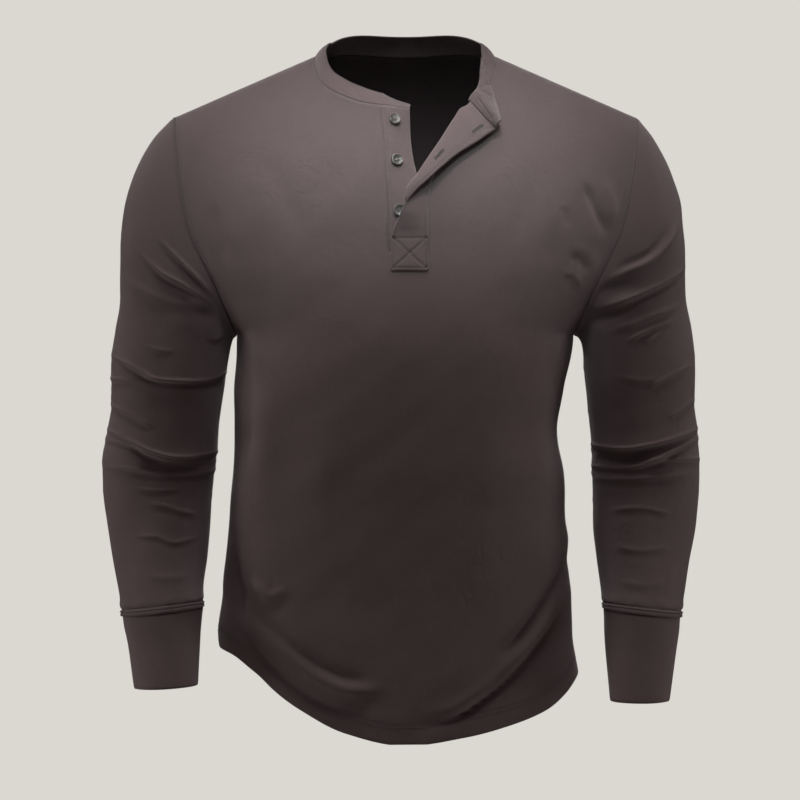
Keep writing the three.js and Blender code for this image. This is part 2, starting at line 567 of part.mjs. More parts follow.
// The seam's points round an armhole, from the shoulder down the front to the underarm and up the back.
function armholeLoop(side) {
  const { armFront, armBack } = seam[side];
  const both = (a, b, i, k) => ({
    p: a.points[i].clone().add(b.points[k]).multiplyScalar(0.5),
    n: frontNormals[i].clone().add(backNormals[k]).normalize(),
  });
  const loop = [];
  for (let k = 0; k < RING; k++) {
    const front = ROWS_ARMHOLE - k;
    const back = k - ROWS_ARMHOLE;
    if (k === 0) loop.push(both(frontSheet, backSheet, armFront[ROWS_ARMHOLE], armBack[ROWS_ARMHOLE]));
    else if (k === ROWS_ARMHOLE) loop.push(both(frontSheet, backSheet, armFront[0], armBack[0]));
    else if (front > 0) loop.push({ p: frontSheet.points[armFront[front]], n: frontNormals[armFront[front]] });
    else loop.push({ p: backSheet.points[armBack[back]], n: backNormals[armBack[back]] });
  }
  return loop;
}

function sleeveSheet(rows, side, folds, loop) {
  const grid = SLEEVE_RINGS.map((s) =>
    Array.from({ length: RING }, (_, k) => {
      const p = tubePoint(rows, s, ringTurn(k));
      const miss = loop[k].p.clone().sub(tubePoint(rows, 0, ringTurn(k)));
      // near the underarm the sleeve leaves the seam at once, so it keeps clear of the body
      const low = Math.max(0, -Math.cos(ringTurn(k)));
      return p.addScaledVector(miss, lerp(smooth(1 - s / 3.6), smooth(1 - s / 1.2), low ** 4));
    }),
  );
  // Ring 0 stands a gap off the panels' edge, outward and along the cloth.
  grid[0] = loop.map((at, k) => {
    const next = loop[(k + 1) % RING].p;
    const last = loop[(k + RING - 1) % RING].p;
    const off = next.clone().sub(last).normalize().cross(at.n).multiplyScalar(-side);
    const lift = smooth((-Math.cos(ringTurn(k)) + 0.2) / 1.1);
    return at.p.clone().addScaledVector(off, SEAM_GAP).addScaledVector(at.n, SEAM_GAP * 1.6 * lift);
  });
  const sheet = new Sheet().add(grid.map((ring) => [...ring, ring[0]]), side < 0);
  const foot = rows[rows.length - 1].oz;
  crease(sheet, folds, (p) => {
    const atArmhole = smooth((Math.abs(p.x) - armholeX(clamp(p.z, UNDERARM_Z, -61.3))) / 30);
    return atArmhole * smooth((p.z - foot - 8) / 30);
  });
  return { sheet, top: grid[0], foot: grid[grid.length - 1] };
}

// A sleeve and its cuff. The two rims that meet go in the same way.
function arm(side, sleeveRows, cuffRows, folds) {
  const loop = armholeLoop(side);
  const { sheet, top, foot } = sleeveSheet(sleeveRows, side, folds, loop);
  const rings = CUFF_RINGS.map((s) => Array.from({ length: RING }, (_, k) => tubePoint(cuffRows, s, ringTurn(k))));
  const cuffSheet = new Sheet().add(rings.map((ring) => [...ring, ring[0]]), side < 0);
  const sleeveNormals = sheet.normals();
  const cuffNormals = cuffSheet.normals();
  const shared = foot.map((p, k) =>
    sleeveNormals[sheet.point(p)].clone().add(cuffNormals[cuffSheet.point(rings[0][k])]).normalize(),
  );
  const rim = new Map(top.map((p, k) => [sheet.point(p), loop[k].n]));
  const sleeveFoot = new Map(foot.map((p, k) => [sheet.point(p), shared[k]]));
  const cuffTop = new Map(rings[0].map((p, k) => [cuffSheet.point(p), shared[k]]));
  const sleeve = wall(sheet, WALL, (i, own) => {
    const body = rim.get(i);
    if (!body) return sleeveFoot.get(i);
    return own.clone().lerp(body, smooth((own.dot(body) - 0.25) / 0.4)).normalize();
  });
  return { sleeve, cuff: wall(cuffSheet, DOUBLE_WALL, (i) => cuffTop.get(i)) };
}

// Underlap, which carries the buttons. Its left edge follows the slit. right: its free edge, back: how far that leans in.
const UNDERLAP_RIGHT = [
  { z: -205, x: 21.6, back: 0 }, { z: -190, x: 21.2, back: 1.5 }, { z: -160, x: 19, back: 5 },
  { z: -131, x: 13, back: 9 }, { z: -107, x: 8, back: 14 }, { z: -85, x: 5.6, back: 16 }, { z: -57, x: 5, back: 16 },
];
const UNDERLAP_ACROSS = 4;
const underX = track(UNDERLAP_RIGHT, "z", "x");
const underBack = track(UNDERLAP_RIGHT, "z", "back");
const underGrid = seam[-1].slit.map((i, j) => {
  const left = frontSheet.points[i].clone();
  left.x += SEAM_GAP;
  if (j === 0) left.z += SEAM_GAP;
  const z = j === 0 ? left.z : left.z - (2 * j) / ROWS_SLIT;
  const right = onBody(-1, underX(z), z);
  right.y += underBack(z);
  return Array.from({ length: UNDERLAP_ACROSS + 1 }, (_, k) => {
    const t = k / UNDERLAP_ACROSS;
    const p = left.clone().lerp(right, t);
    p.y += (lerp(left.y, right.y, t) - p.y) - 0.12 * underBack(z) * Math.sin(Math.PI * t);
    return p;
  });
});
const underSheet = new Sheet().add(underGrid, false);

// Overlap, which carries the buttonholes: a its seam, r where it rolls over, f its free edge. Each is a place on the
// front and how far it stands off it. The three lowest rows are the stitched box.
const STRIP_LIFT = SEAM_GAP + DOUBLE_WALL + 0.3;
const OVERLAP = [
  { ax: 23, az: -223.7, rx: 4.5, rz: -223.7, rl: STRIP_LIFT, fx: -14, fz: -223.7, fl: STRIP_LIFT },
  { ax: 23, az: -207, rx: 4.5, rz: -207, rl: STRIP_LIFT, fx: -14, fz: -207, fl: STRIP_LIFT },
  { ax: 23, az: -190, rx: 4.5, rz: -190, rl: STRIP_LIFT + 0.3, fx: -14, fz: -190, fl: STRIP_LIFT + 0.4 },
  { ax: 23.3, az: -177, rx: 4.2, rz: -176.5, rl: 6, fx: -8.5, fz: -175.5, fl: 5.5 },
  { ax: 23.5, az: -164, rx: 3.5, rz: -163.5, rl: 9, fx: -2, fz: -162.8, fl: 8.5 },
  { ax: 25.5, az: -143, rx: 3.2, rz: -145.5, rl: 9, fx: 11, fz: -145.7, fl: 13 },
  { ax: 29, az: -127, rx: 14, rz: -129, rl: 9, fx: 23.5, fz: -134.5, fl: 13 },
  { ax: 36, az: -109, rx: 24.5, rz: -113, rl: 8.5, fx: 38, fz: -121, fl: 11.5 },
  { ax: 43, az: -93.5, rx: 36, rz: -97.4, rl: 8, fx: 51.6, fz: -109.5, fl: 10.5 },
  { ax: 55, az: -72, rx: 52.6, rz: -75, rl: 8, fx: 71.8, fz: -96.6, fl: 8.5 },
  { ax: 60.5, az: -61.5, rx: 60, rz: -67, rl: 7, fx: 81.5, fz: -89.5, fl: 8 },
  { ax: 66, az: -52.5, rx: 76, rz: -68, rl: 6.5, fx: 90.6, fz: -82.8, fl: 7.5 },
];
const OVERLAP_ACROSS = 6;
const bend = (a, r, f, t) => {
  const c = r.clone().multiplyScalar(2).addScaledVector(a.clone().add(f), -0.5);
  return a.clone().multiplyScalar((1 - t) ** 2).addScaledVector(c, 2 * t * (1 - t)).addScaledVector(f, t * t);
};
const overGrid = OVERLAP.map((row) => {
  const a = liftedFront(row.ax, row.az, STRIP_LIFT);
  const r = liftedFront(row.rx, row.rz, row.rl);
  const f = liftedFront(row.fx, row.fz, row.fl);
  return Array.from({ length: OVERLAP_ACROSS + 1 }, (_, k) => bend(a, r, f, k / OVERLAP_ACROSS));
});
const overSheet = new Sheet().add(overGrid, true);
const overNormals = overSheet.normals();
const underNormals = underSheet.normals();

// Neckband. at: 0 its end over the underlap, 1 and 5 the slit's two edges, 2 and 4 the shoulder seams, 3 the middle of
// the back, 6 its turned-out end. t: from the seam to its top edge. r: from the seam to its middle.
const NECKBAND = [
  { at: 0, rx: 0.5, ry: 10.6, rz: 4, tx: 1, ty: 22, tz: 6 },
  { at: 0.5, rx: 0.7, ry: 10, rz: 5.4, tx: 1.5, ty: 21.5, tz: 8.5 },
  { at: 1, rx: 1.3, ry: 8, rz: 8, tx: 3, ty: 18.5, tz: 13.5 },
  { at: 1.2, rx: 1.8, ry: 6.6, rz: 9.4, tx: 4, ty: 15.5, tz: 16.5 },
  { at: 1.45, rx: 3.6, ry: 5.8, rz: 9.4, tx: 8, ty: 14, tz: 16.5 },
  { at: 1.65, rx: 4.7, ry: 5.5, rz: 9, tx: 10.5, ty: 13, tz: 15.5 },
  { at: 1.85, rx: 5.7, ry: 5.6, rz: 8.4, tx: 12.5, ty: 12, tz: 14 },
  { at: 2, rx: 7.2, ry: 0, rz: 8.6, tx: 16, ty: 0, tz: 14.5 },
  { at: 2.35, rx: 5, ry: -3, rz: 10, tx: 12, ty: -7, tz: 18.5 },
  { at: 2.7, rx: 2.4, ry: -3.4, rz: 10.8, tx: 6, ty: -8, tz: 20.5 },
  { at: 3, rx: 0, ry: -3.2, rz: 11.2, tx: 0, ty: -7.5, tz: 21.5 },
  { at: 3.3, rx: -2.4, ry: -3.4, rz: 10.8, tx: -6, ty: -8, tz: 20.5 },
  { at: 3.65, rx: -5, ry: -3, rz: 10, tx: -12, ty: -7, tz: 18.5 },
  { at: 4, rx: -6.4, ry: 0, rz: 8.4, tx: -14, ty: 0, tz: 14 },
  { at: 4.31, rx: -7, ry: 6.4, rz: 6.8, tx: -14.3, ty: 14, tz: 10 },
  { at: 4.48, rx: -9.5, ry: 7.5, rz: 7.5, tx: -10.7, ty: 11, tz: 11.5 },
  { at: 4.61, rx: -9.9, ry: 3.8, rz: 7, tx: -7.2, ty: 1.5, tz: 9.7 },
  { at: 4.7, rx: -7.4, ry: 2.6, rz: 8.4, tx: -3.4, ty: 1, tz: 11.8 },
  { at: 4.79, rx: -3.6, ry: 2.6, rz: 9.4, tx: 3, ty: 2.4, tz: 15 },
  { at: 4.9, rx: 1.8, ry: 2.2, rz: 9.8, tx: 11.6, ty: 3.2, tz: 16.4 },
  { at: 5, rx: 6.4, ry: 1.6, rz: 9.8, tx: 19.6, ty: 4.6, tz: 16.4 },
  { at: 5.5, rx: 6.8, ry: -1.6, rz: 7.4, tx: 13.8, ty: 5, tz: 12.4 },
  { at: 6, rx: 2, ry: -5.5, rz: 4.5, tx: 4.6, ty: -2.6, tz: 8 },
];
const BAND_ACROSS = 4;
const bandRead = Object.fromEntries(["rx", "ry", "rz", "tx", "ty", "tz"].map((key) => [key, track(NECKBAND, "at", key)]));
const stretch = (sheet, normals, indices, from) =>
  indices.map((i, k) => ({ at: from + k / (indices.length - 1), p: sheet.points[i], n: normals[i] }));
const bandBase = [
  ...stretch(underSheet, underNormals, [...underGrid[ROWS_SLIT]].reverse().map((p) => underSheet.point(p)), 0),
  ...stretch(frontSheet, frontNormals, seam[-1].neckFront, 1).slice(1),
  ...stretch(backSheet, backNormals, [...seam[-1].neckBack].reverse(), 2).slice(1),
  ...stretch(backSheet, backNormals, seam[1].neckBack, 3).slice(1),
  ...stretch(frontSheet, frontNormals, [...seam[1].neckFront].reverse(), 4).slice(1),
  ...stretch(overSheet, overNormals, overGrid[OVERLAP.length - 1].map((p) => overSheet.point(p)), 5).slice(1),
];
const bandGrid = bandBase.map(({ at, p }) => {
  const v = (a) => new THREE.Vector3(bandRead[a + "x"](at), bandRead[a + "y"](at), bandRead[a + "z"](at));
  const base = new THREE.Vector3();
  return Array.from({ length: BAND_ACROSS + 1 }, (_, k) => bend(base, v("r"), v("t"), k / BAND_ACROSS));
});
bandGrid.forEach((station, j) => {
  const up = station[1].clone().normalize();
  for (const q of station) q.add(bandBase[j].p).addScaledVector(up, SEAM_GAP);
});
const bandSheet = new Sheet().add(bandGrid, false);
const bandRim = new Map(bandGrid.map((station, j) => [bandSheet.point(station[0]), bandBase[j].n]));

// Buttons: a disc with four holes, square to the underlap.
const BUTTONS = [{ x: -11.3, z: -70 }, { x: -8.7, z: -112.5 }, { x: -5.8, z: -163.5 }];
const BUTTON_GAP = 0.6;
const BUTTON_SIDES = 20;
const HOLE_SIDES = 6;
const HOLE_RADIUS = 0.85;
const HOLE_OFF = 1.45;
function button(at) {
  let best = null;
  for (let j = 0; j + 1 < underGrid.length; j++) {
    for (let i = 0; i < UNDERLAP_ACROSS; i++) {
      const [a, b, c, d] = [underGrid[j][i], underGrid[j][i + 1], underGrid[j + 1][i + 1], underGrid[j + 1][i]];
      const v = (at.z - a.z) / (d.z - a.z);
      const left = a.clone().lerp(d, v);
      const right = b.clone().lerp(c, v);
      const u = (at.x - left.x) / (right.x - left.x);
      if (u < 0 || u > 1 || v < 0 || v > 1) continue;
      const n = right.clone().sub(left).cross(d.clone().sub(a)).normalize();
      best = { p: left.lerp(right, u), n };
    }
  }
  const circle = (r, sides, cx, cy) =>
    Array.from({ length: sides }, (_, k) => {
      const a = (2 * Math.PI * (k + 0.5)) / sides;
      return new THREE.Vector2(cx + r * Math.cos(a), cy + r * Math.sin(a));
    });
  const outline = new THREE.Shape(circle(BUTTON_RADIUS, BUTTON_SIDES, 0, 0));
  for (const [sx, sy] of [[1, 1], [1, -1], [-1, 1], [-1, -1]]) {
    outline.holes.push(new THREE.Path(circle(HOLE_RADIUS, HOLE_SIDES, sx * HOLE_OFF, sy * HOLE_OFF)));
  }
  const geometry = new THREE.ExtrudeGeometry(outline, { depth: BUTTON_THICK, bevelEnabled: false, curveSegments: 1 });
  const across = new THREE.Vector3(0, 0, 1).cross(best.n).normalize();
  const frame = new THREE.Matrix4().makeBasis(across, best.n.clone().cross(across), best.n);
  frame.setPosition(best.p.clone().addScaledVector(best.n, BUTTON_GAP));
  geometry.applyMatrix4(frame);
  return geometry;
}

const cloth = new THREE.MeshStandardMaterial({ color: 0x4a3f40, roughness: 0.95, name: "jersey" });
const horn = new THREE.MeshStandardMaterial({ color: 0x5d5350, roughness: 0.5, name: "button" });
const shirt = new THREE.Group();
shirt.name = "henley_shirt";
function piece(name, geometry, material) {
  const mesh = new THREE.Mesh(geometry, material);
  mesh.name = name;
  shirt.add(mesh);
}
piece("front", wall(frontSheet, WALL), cloth);
piece("back", wall(backSheet, WALL), cloth);
const right = arm(-1, SLEEVE_R, CUFF_R, SLEEVE_R_FOLDS);
const left = arm(1, SLEEVE_L, CUFF_L, SLEEVE_L_FOLDS);
piece("sleeve_R", right.sleeve, cloth);
piece("sleeve_L", left.sleeve, cloth);
piece("cuff_R", right.cuff, cloth);
piece("cuff_L", left.cuff, cloth);
piece("neckband", wall(bandSheet, DOUBLE_WALL, (i) => bandRim.get(i)), cloth);
const underRim = new Map(underGrid.map((row, j) => [underSheet.point(row[0]), frontNormals[seam[-1].slit[j]]]));
piece("placket_under", wall(underSheet, DOUBLE_WALL, (i) => underRim.get(i)), cloth);
piece("placket_over", wall(overSheet, DOUBLE_WALL), cloth);
BUTTONS.forEach((at, k) => piece(`button_${k + 1}`, button(at), horn));

export default shirt;
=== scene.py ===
"""A long-sleeved henley shirt, filled out as it is when worn, with nobody in it.

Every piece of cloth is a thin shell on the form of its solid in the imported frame. Sizes are millimetres,
with +Z up, -Y the front and +X the wearer's left, and become metres where a mesh is made.
"""

from __future__ import annotations

import logging
import math
from dataclasses import dataclass, field
from enum import Enum
from typing import Callable, Sequence

import bpy
import numpy as np
from bpy.types import Material, Node, NodeSocket, NodeTree, Object, World
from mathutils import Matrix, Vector

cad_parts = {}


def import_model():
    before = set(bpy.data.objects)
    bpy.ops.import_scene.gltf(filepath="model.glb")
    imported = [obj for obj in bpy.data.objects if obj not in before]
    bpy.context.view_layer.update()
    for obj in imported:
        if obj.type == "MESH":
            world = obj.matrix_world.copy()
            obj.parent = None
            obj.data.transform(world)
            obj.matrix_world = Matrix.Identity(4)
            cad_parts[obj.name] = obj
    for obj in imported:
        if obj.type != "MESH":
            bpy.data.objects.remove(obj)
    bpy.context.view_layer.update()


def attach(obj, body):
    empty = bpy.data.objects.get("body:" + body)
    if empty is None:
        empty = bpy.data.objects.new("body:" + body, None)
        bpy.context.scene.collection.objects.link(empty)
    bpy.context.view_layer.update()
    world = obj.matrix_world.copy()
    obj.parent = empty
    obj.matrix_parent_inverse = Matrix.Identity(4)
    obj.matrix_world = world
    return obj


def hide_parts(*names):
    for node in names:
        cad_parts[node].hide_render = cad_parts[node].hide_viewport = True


LOG = logging.getLogger("henley_shirt")
MM = 0.001
QUARTER = math.pi / 2
BODY = "root"
Array = np.ndarray
Pair = tuple[float, float]
Triple = tuple[float, float, float]


class Face(Enum):
    """Which half of the body a panel covers."""

    FRONT = -1
    BACK = 1


class Side(Enum):
    """A side of the shirt, by the sign of its X."""

    RIGHT = -1
    LEFT = 1


# Cloth
WALL = 1.3
DOUBLE_WALL = 1.8
SEAM_GAP = 0.3

# Cut
NECK_HALF_WIDTH = 93.0
NECK_SIDE_Z = 3.5
NECK_BACK_DEPTH = 57.0
NECK_BACK_CURVE = 2.3
NECK_BACK_SECTION_DEPTH = 102.0
NECK_BACK_SECTION_SQUARE = 2.05
SHOULDER_SLOPE = 0.435
SHOULDER_LEVEL_X = 125.0
SHOULDER_LEVEL_Z = -10.4
SHOULDER_END_Z = -61.3
UNDERARM_Z = -286.0
ARCH_BASE_Z = -190.0
ROW_UNIT = 200.0
ARCH_FLAT = 0.35
SLIT_FOOT_Z = -205.0
SLIT_FOOT_X = {Side.RIGHT: -15.5, Side.LEFT: 22.0}
SLIT_COLUMN_DRIFT = 3.2
HEM_LEVEL = -2.3
NECK_RISE = {Face.FRONT: (11, 2), Face.BACK: (46, 3)}

# Rows of the cut between its corners, and how many fine rows stand for one
ROWS_SIDE = 22
ROWS_ARMHOLE = 16
ROWS_SLIT = 7
ROWS_NECK_FRONT = ROWS_ARMHOLE - ROWS_SLIT
ROWS_NECK_BACK = 8
ROWS = ROWS_SIDE + ROWS_ARMHOLE
FINE = 8
COLUMNS = 116


def smooth(t: Array | float) -> Array:
    """Returns an S-shaped step from 0 at t = 0 to 1 at t = 1."""
    s = np.clip(t, 0.0, 1.0)
    return s * s * (3 - 2 * s)


def lerp(a: Array | float, b: Array | float, t: Array | float) -> Array:
    """Returns the value a share t of the way from a to b."""
    return a + (np.asarray(b) - a) * t


def unit(v: Array) -> Array:
    """Returns the vectors of v at length one."""
    return v / np.maximum(np.linalg.norm(v, axis=-1, keepdims=True), 1e-9)


class Track:
    """A smooth curve through a table's rows that never overshoots them."""

    def __init__(self, at: Sequence[float], value: Sequence[float]) -> None:
        """Fits the curve.

        Args:
            at: where each row stands, rising or falling.
            value: what the curve reads there.
        """
        x, y = np.asarray(at, float), np.asarray(value, float)
        if x[0] > x[-1]:
            x, y = x[::-1], y[::-1]
        step = np.diff(x)
        slope = np.diff(y) / step
        tangent = np.zeros_like(x)
        tangent[0], tangent[-1] = slope[0], slope[-1]
        before, after = step[:-1], step[1:]
        total = before + after
        same = slope[:-1] * slope[1:] > 0
        a, b = np.where(same, slope[:-1], 1.0), np.where(same, slope[1:], 1.0)
        mean = 3 * total / ((total + after) / a + (total + before) / b)
        tangent[1:-1] = np.where(same, mean, 0.0)
        self.x, self.y, self.tangent = x, y, tangent

    def __call__(self, v: Array | float) -> Array:
        """Returns the curve's value at v, and at its end beyond it."""
        p = np.clip(v, self.x[0], self.x[-1])
        i = np.clip(np.searchsorted(self.x, p, side="right") - 1, 0, len(self.x) - 2)
        h = self.x[i + 1] - self.x[i]
        t = (p - self.x[i]) / h
        return (
            self.y[i] * (1 + 2 * t) * (1 - t) ** 2
            + self.tangent[i] * h * t * (1 - t) ** 2
            + self.y[i + 1] * t * t * (3 - 2 * t)
            + self.tangent[i + 1] * h * t * t * (t - 1)
        )


class Table:
    """A table with named columns, read as smooth curves along its first column."""

    def __init__(self, columns: str, rows: Sequence[Sequence[float]]) -> None:
        """Reads the rows.

        Args:
            columns: the columns' names, apart by spaces, the first one what the table is read at.
            rows: the table's rows.
        """
        names = columns.split()
        self.rows = np.asarray(rows, float)
        self.tracks = {n: Track(self.rows[:, 0], self.rows[:, k]) for k, n in enumerate(names) if k}

    def read(self, name: str, at: Array | float) -> Array:
        """Returns column name at the given places."""
        return self.tracks[name](at)

    def first(self) -> float:
        """Returns where the table begins."""
        return float(self.rows[0, 0])

    def last(self) -> float:
        """Returns where the table ends."""
        return float(self.rows[-1, 0])


# Body sections: half width, how far the middle lies from the centre line, depths, and how square each is.
SECTIONS = Table(
    "z half mid front back square",
    [
        (-720, 185, -3, 114, 106, 2.4),
        (-640, 184, -4, 112, 101, 2.4),
        (-593, 184, -10.4, 110, 98, 2.4),
        (-551, 180.4, -7.8, 108, 92, 2.4),
        (-468, 173.7, -8.3, 108, 86, 2.4),
        (-426, 172, -6.8, 110, 87, 2.4),
        (-385, 168.5, -8.3, 112, 88, 2.4),
        (-343, 171, -5.7, 115, 93, 2.38),
        (-286, 174.5, 0, 118, 99, 2.3),
        (-240, 174.5, 0, 117, 102, 2.1),
        (-190, 174.5, 0, 114, 103, 2.05),
        (-120, 174.5, 0, 112, 102, 2.05),
    ],
)
# The armhole seam, the hem, the slit's edges and the front neckline, all seen from the front.
ARMHOLE = Table(
    "z x",
    [
        (-286, 174.5), (-266, 182), (-242, 192), (-212, 207), (-180, 221), (-135, 231), (-98, 236.5),
        (-61.3, 242),
    ],
)
ARMHOLE_DEPTH = 0.55
ARMHOLE_ROUND_Z = -214.0
HEM = Table(
    "x z",
    [
        (-196, -606), (-172, -614), (-152, -629), (-134, -646), (-105, -666), (-60, -688), (0, -700),
        (60, -692), (95, -684), (142, -668), (165, -652), (180, -636),
    ],
)
SLIT = {
    Side.RIGHT: Table("z x", [(-205, -15.5), (-169, -17), (-133, -19), (-55, -25)]),
    Side.LEFT: Table(
        "z x",
        [(-205, 22), (-164, 22.5), (-143, 24.5), (-127, 28), (-108, 35), (-93, 42), (-72, 54), (-52, 65)],
    ),
}
NECKLINE = {
    Side.RIGHT: Table(
        "s x z",
        [
            (0, -25, -55), (19, -43.5, -52), (34, -58, -47), (48, -70, -41), (60, -80, -35), (72, -87, -26),
            (83, -90.8, -16), (93, -93.2, -6), (104, -93, NECK_SIDE_Z),
        ],
    ),
    Side.LEFT: Table(
        "s x z",
        [
            (0, 65, -52), (18, 79, -40.5), (34, 88, -27.5), (46, 90.8, -16), (57, 93.2, -6),
            (68, 93, NECK_SIDE_Z),
        ],
    ),
}


class BodyForm:
    """The outer surface of the shirt's body, which both panels are cut from."""

    def __init__(self) -> None:
        """Works out the armhole's width at each height."""
        z, x = ARMHOLE.rows[:, 0], ARMHOLE.rows[:, 1]
        self.armhole_x = Track(self.height(z, x, Face.FRONT), x)

    def shoulder_z(self, x: Array, face: Face) -> Array:
        """Returns the top of the shoulder at x, and inside the neck a guide for the arch below it."""
        off = np.abs(x)
        line = SHOULDER_LEVEL_Z - SHOULDER_SLOPE * (off - SHOULDER_LEVEL_X)
        share = np.minimum(off / NECK_HALF_WIDTH, 1.0)
        rise, power = NECK_RISE[face]
        inside = rise * (1 - share**power)
        return np.where(off >= NECK_HALF_WIDTH, line, NECK_SIDE_Z + inside)

    def height(self, z: Array | float, x: Array | float, face: Face) -> Array:
        """Returns z's height number: in ROW_UNITs below the arch, as a share of a quarter turn in it."""
        z, x = np.asarray(z, float), np.asarray(x, float)
        rise = np.clip((z - ARCH_BASE_Z) / (self.shoulder_z(x, face) - ARCH_BASE_Z), 0, 1)
        return np.where(z <= ARCH_BASE_Z, (z - ARCH_BASE_Z) / ROW_UNIT, np.arcsin(rise) / QUARTER)

    def section_z(self, h: Array) -> Array:
        """Returns the height in millimetres that the section's sizes are read at."""
        return ARCH_BASE_Z + np.minimum(h, ARCH_FLAT) * ROW_UNIT

    def armhole_share(self, h: Array) -> Array:
        """Returns how deep the armhole seam lies, as a share of the body's own depth."""
        upper = (ARMHOLE_ROUND_Z - ARCH_BASE_Z) / ROW_UNIT
        lower = (UNDERARM_Z - ARCH_BASE_Z) / ROW_UNIT
        drop = np.clip((upper - h) / (upper - lower), 0, 1)
        return ARMHOLE_DEPTH * np.sqrt(1 - drop**2)

    def half(self, h: Array) -> Array:
        """Returns the section's half width; above the underarm it is what passes through the armhole seam."""
        z = self.section_z(h)
        square = SECTIONS.read("square", z)
        above = self.armhole_x(h) / (1 - self.armhole_share(h) ** square) ** (1 / square)
        return np.where(z <= UNDERARM_Z, SECTIONS.read("half", z), above)

    def point(self, face: Face, side: Side, turn: Array, h: Array) -> Array:
        """Returns points of the surface.

        Args:
            face: front or back.
            side: the side of the centre line.
            turn: 0 on the centre line, 1 on the side seam.
            h: height numbers.

        Returns:
            An array with a last axis of x, y, z.
        """
        turn, h = np.broadcast_arrays(np.asarray(turn, float), np.asarray(h, float))
        z = self.section_z(h)
        power = 2 / SECTIONS.read("square", z)
        angle = np.clip(turn, 0, 1) * QUARTER
        x = self.half(h) * np.sin(angle) ** power
        deep = SECTIONS.read("front" if face is Face.FRONT else "back", z)
        depth = deep * np.maximum(np.cos(angle), 0) ** power
        arch = np.where(h > 0, np.cos(np.clip(h, 0, 1) * QUARTER), 1.0)
        rise = np.sin(np.clip(h, 0, 1) * QUARTER) * (self.shoulder_z(x, face) - ARCH_BASE_Z)
        top = np.where(h > 0, ARCH_BASE_Z + rise, ARCH_BASE_Z + h * ROW_UNIT)
        return np.stack([SECTIONS.read("mid", z) + side.value * x, face.value * depth * arch, top], axis=-1)

    def turn_at(self, x: Array, h: Array) -> Array:
        """Returns the turn at which the section is x wide of its middle."""
        square = SECTIONS.read("square", self.section_z(h))
        return np.arcsin(np.clip(np.abs(x) / self.half(h), 0, 1) ** (square / 2)) / QUARTER

    def cut_at(self, x: Array, z: Array, face: Face = Face.FRONT) -> tuple[Array, Array]:
        """Returns the turn and the height number of a place seen from the front."""
        h = self.height(z, x, face)
        return self.turn_at(self.off_middle(x, z), h), h

    @staticmethod
    def off_middle(x: Array, z: Array) -> Array:
        """Returns how far x lies from the middle of the section at z."""
        return np.asarray(x, float) - SECTIONS.read("mid", np.minimum(z, SECTIONS.last()))

    def on(self, x: Array, z: Array, face: Face = Face.FRONT) -> Array:
        """Returns the surface's points at places seen from the front."""
        turn, h = self.cut_at(x, z, face)
        right = self.point(face, Side.RIGHT, turn, h)
        left = self.point(face, Side.LEFT, turn, h)
        return np.where((self.off_middle(x, z) < 0)[..., None], right, left)

    def lifted(self, x: Array, z: Array, lift: Array, face: Face = Face.FRONT) -> Array:
        """Returns points that stand lift off the surface at places seen from the front."""
        step = 1.5
        x, z, lift = (np.asarray(v, float) for v in (x, z, lift))
        across = self.on(x + step, z, face) - self.on(x - step, z, face)
        up = self.on(x, z + step, face) - self.on(x, z - step, face)
        normal = unit(np.cross(across, up)) * -face.value
        return self.on(x, z, face) + normal * lift[..., None]


Curve = Callable[[Array], tuple[Array, Array]]


def evenly(curve: Curve, count: int, place: Callable[..., Array]) -> tuple[Array, Array]:
    """Returns a curve's values at even steps along it.

    Args:
        curve: gives turns and heights at shares from 0 to 1.
        count: how many steps.
        place: turns those values into points in space.

    Returns:
        The turns and heights at count + 1 places.
    """
    fine = np.linspace(0, 1, 1201)
    at = place(*curve(fine))
    run = np.concatenate([[0], np.cumsum(np.linalg.norm(np.diff(at, axis=0), axis=1))])
    return curve(np.interp(np.linspace(0, run[-1], count + 1), run, fine))


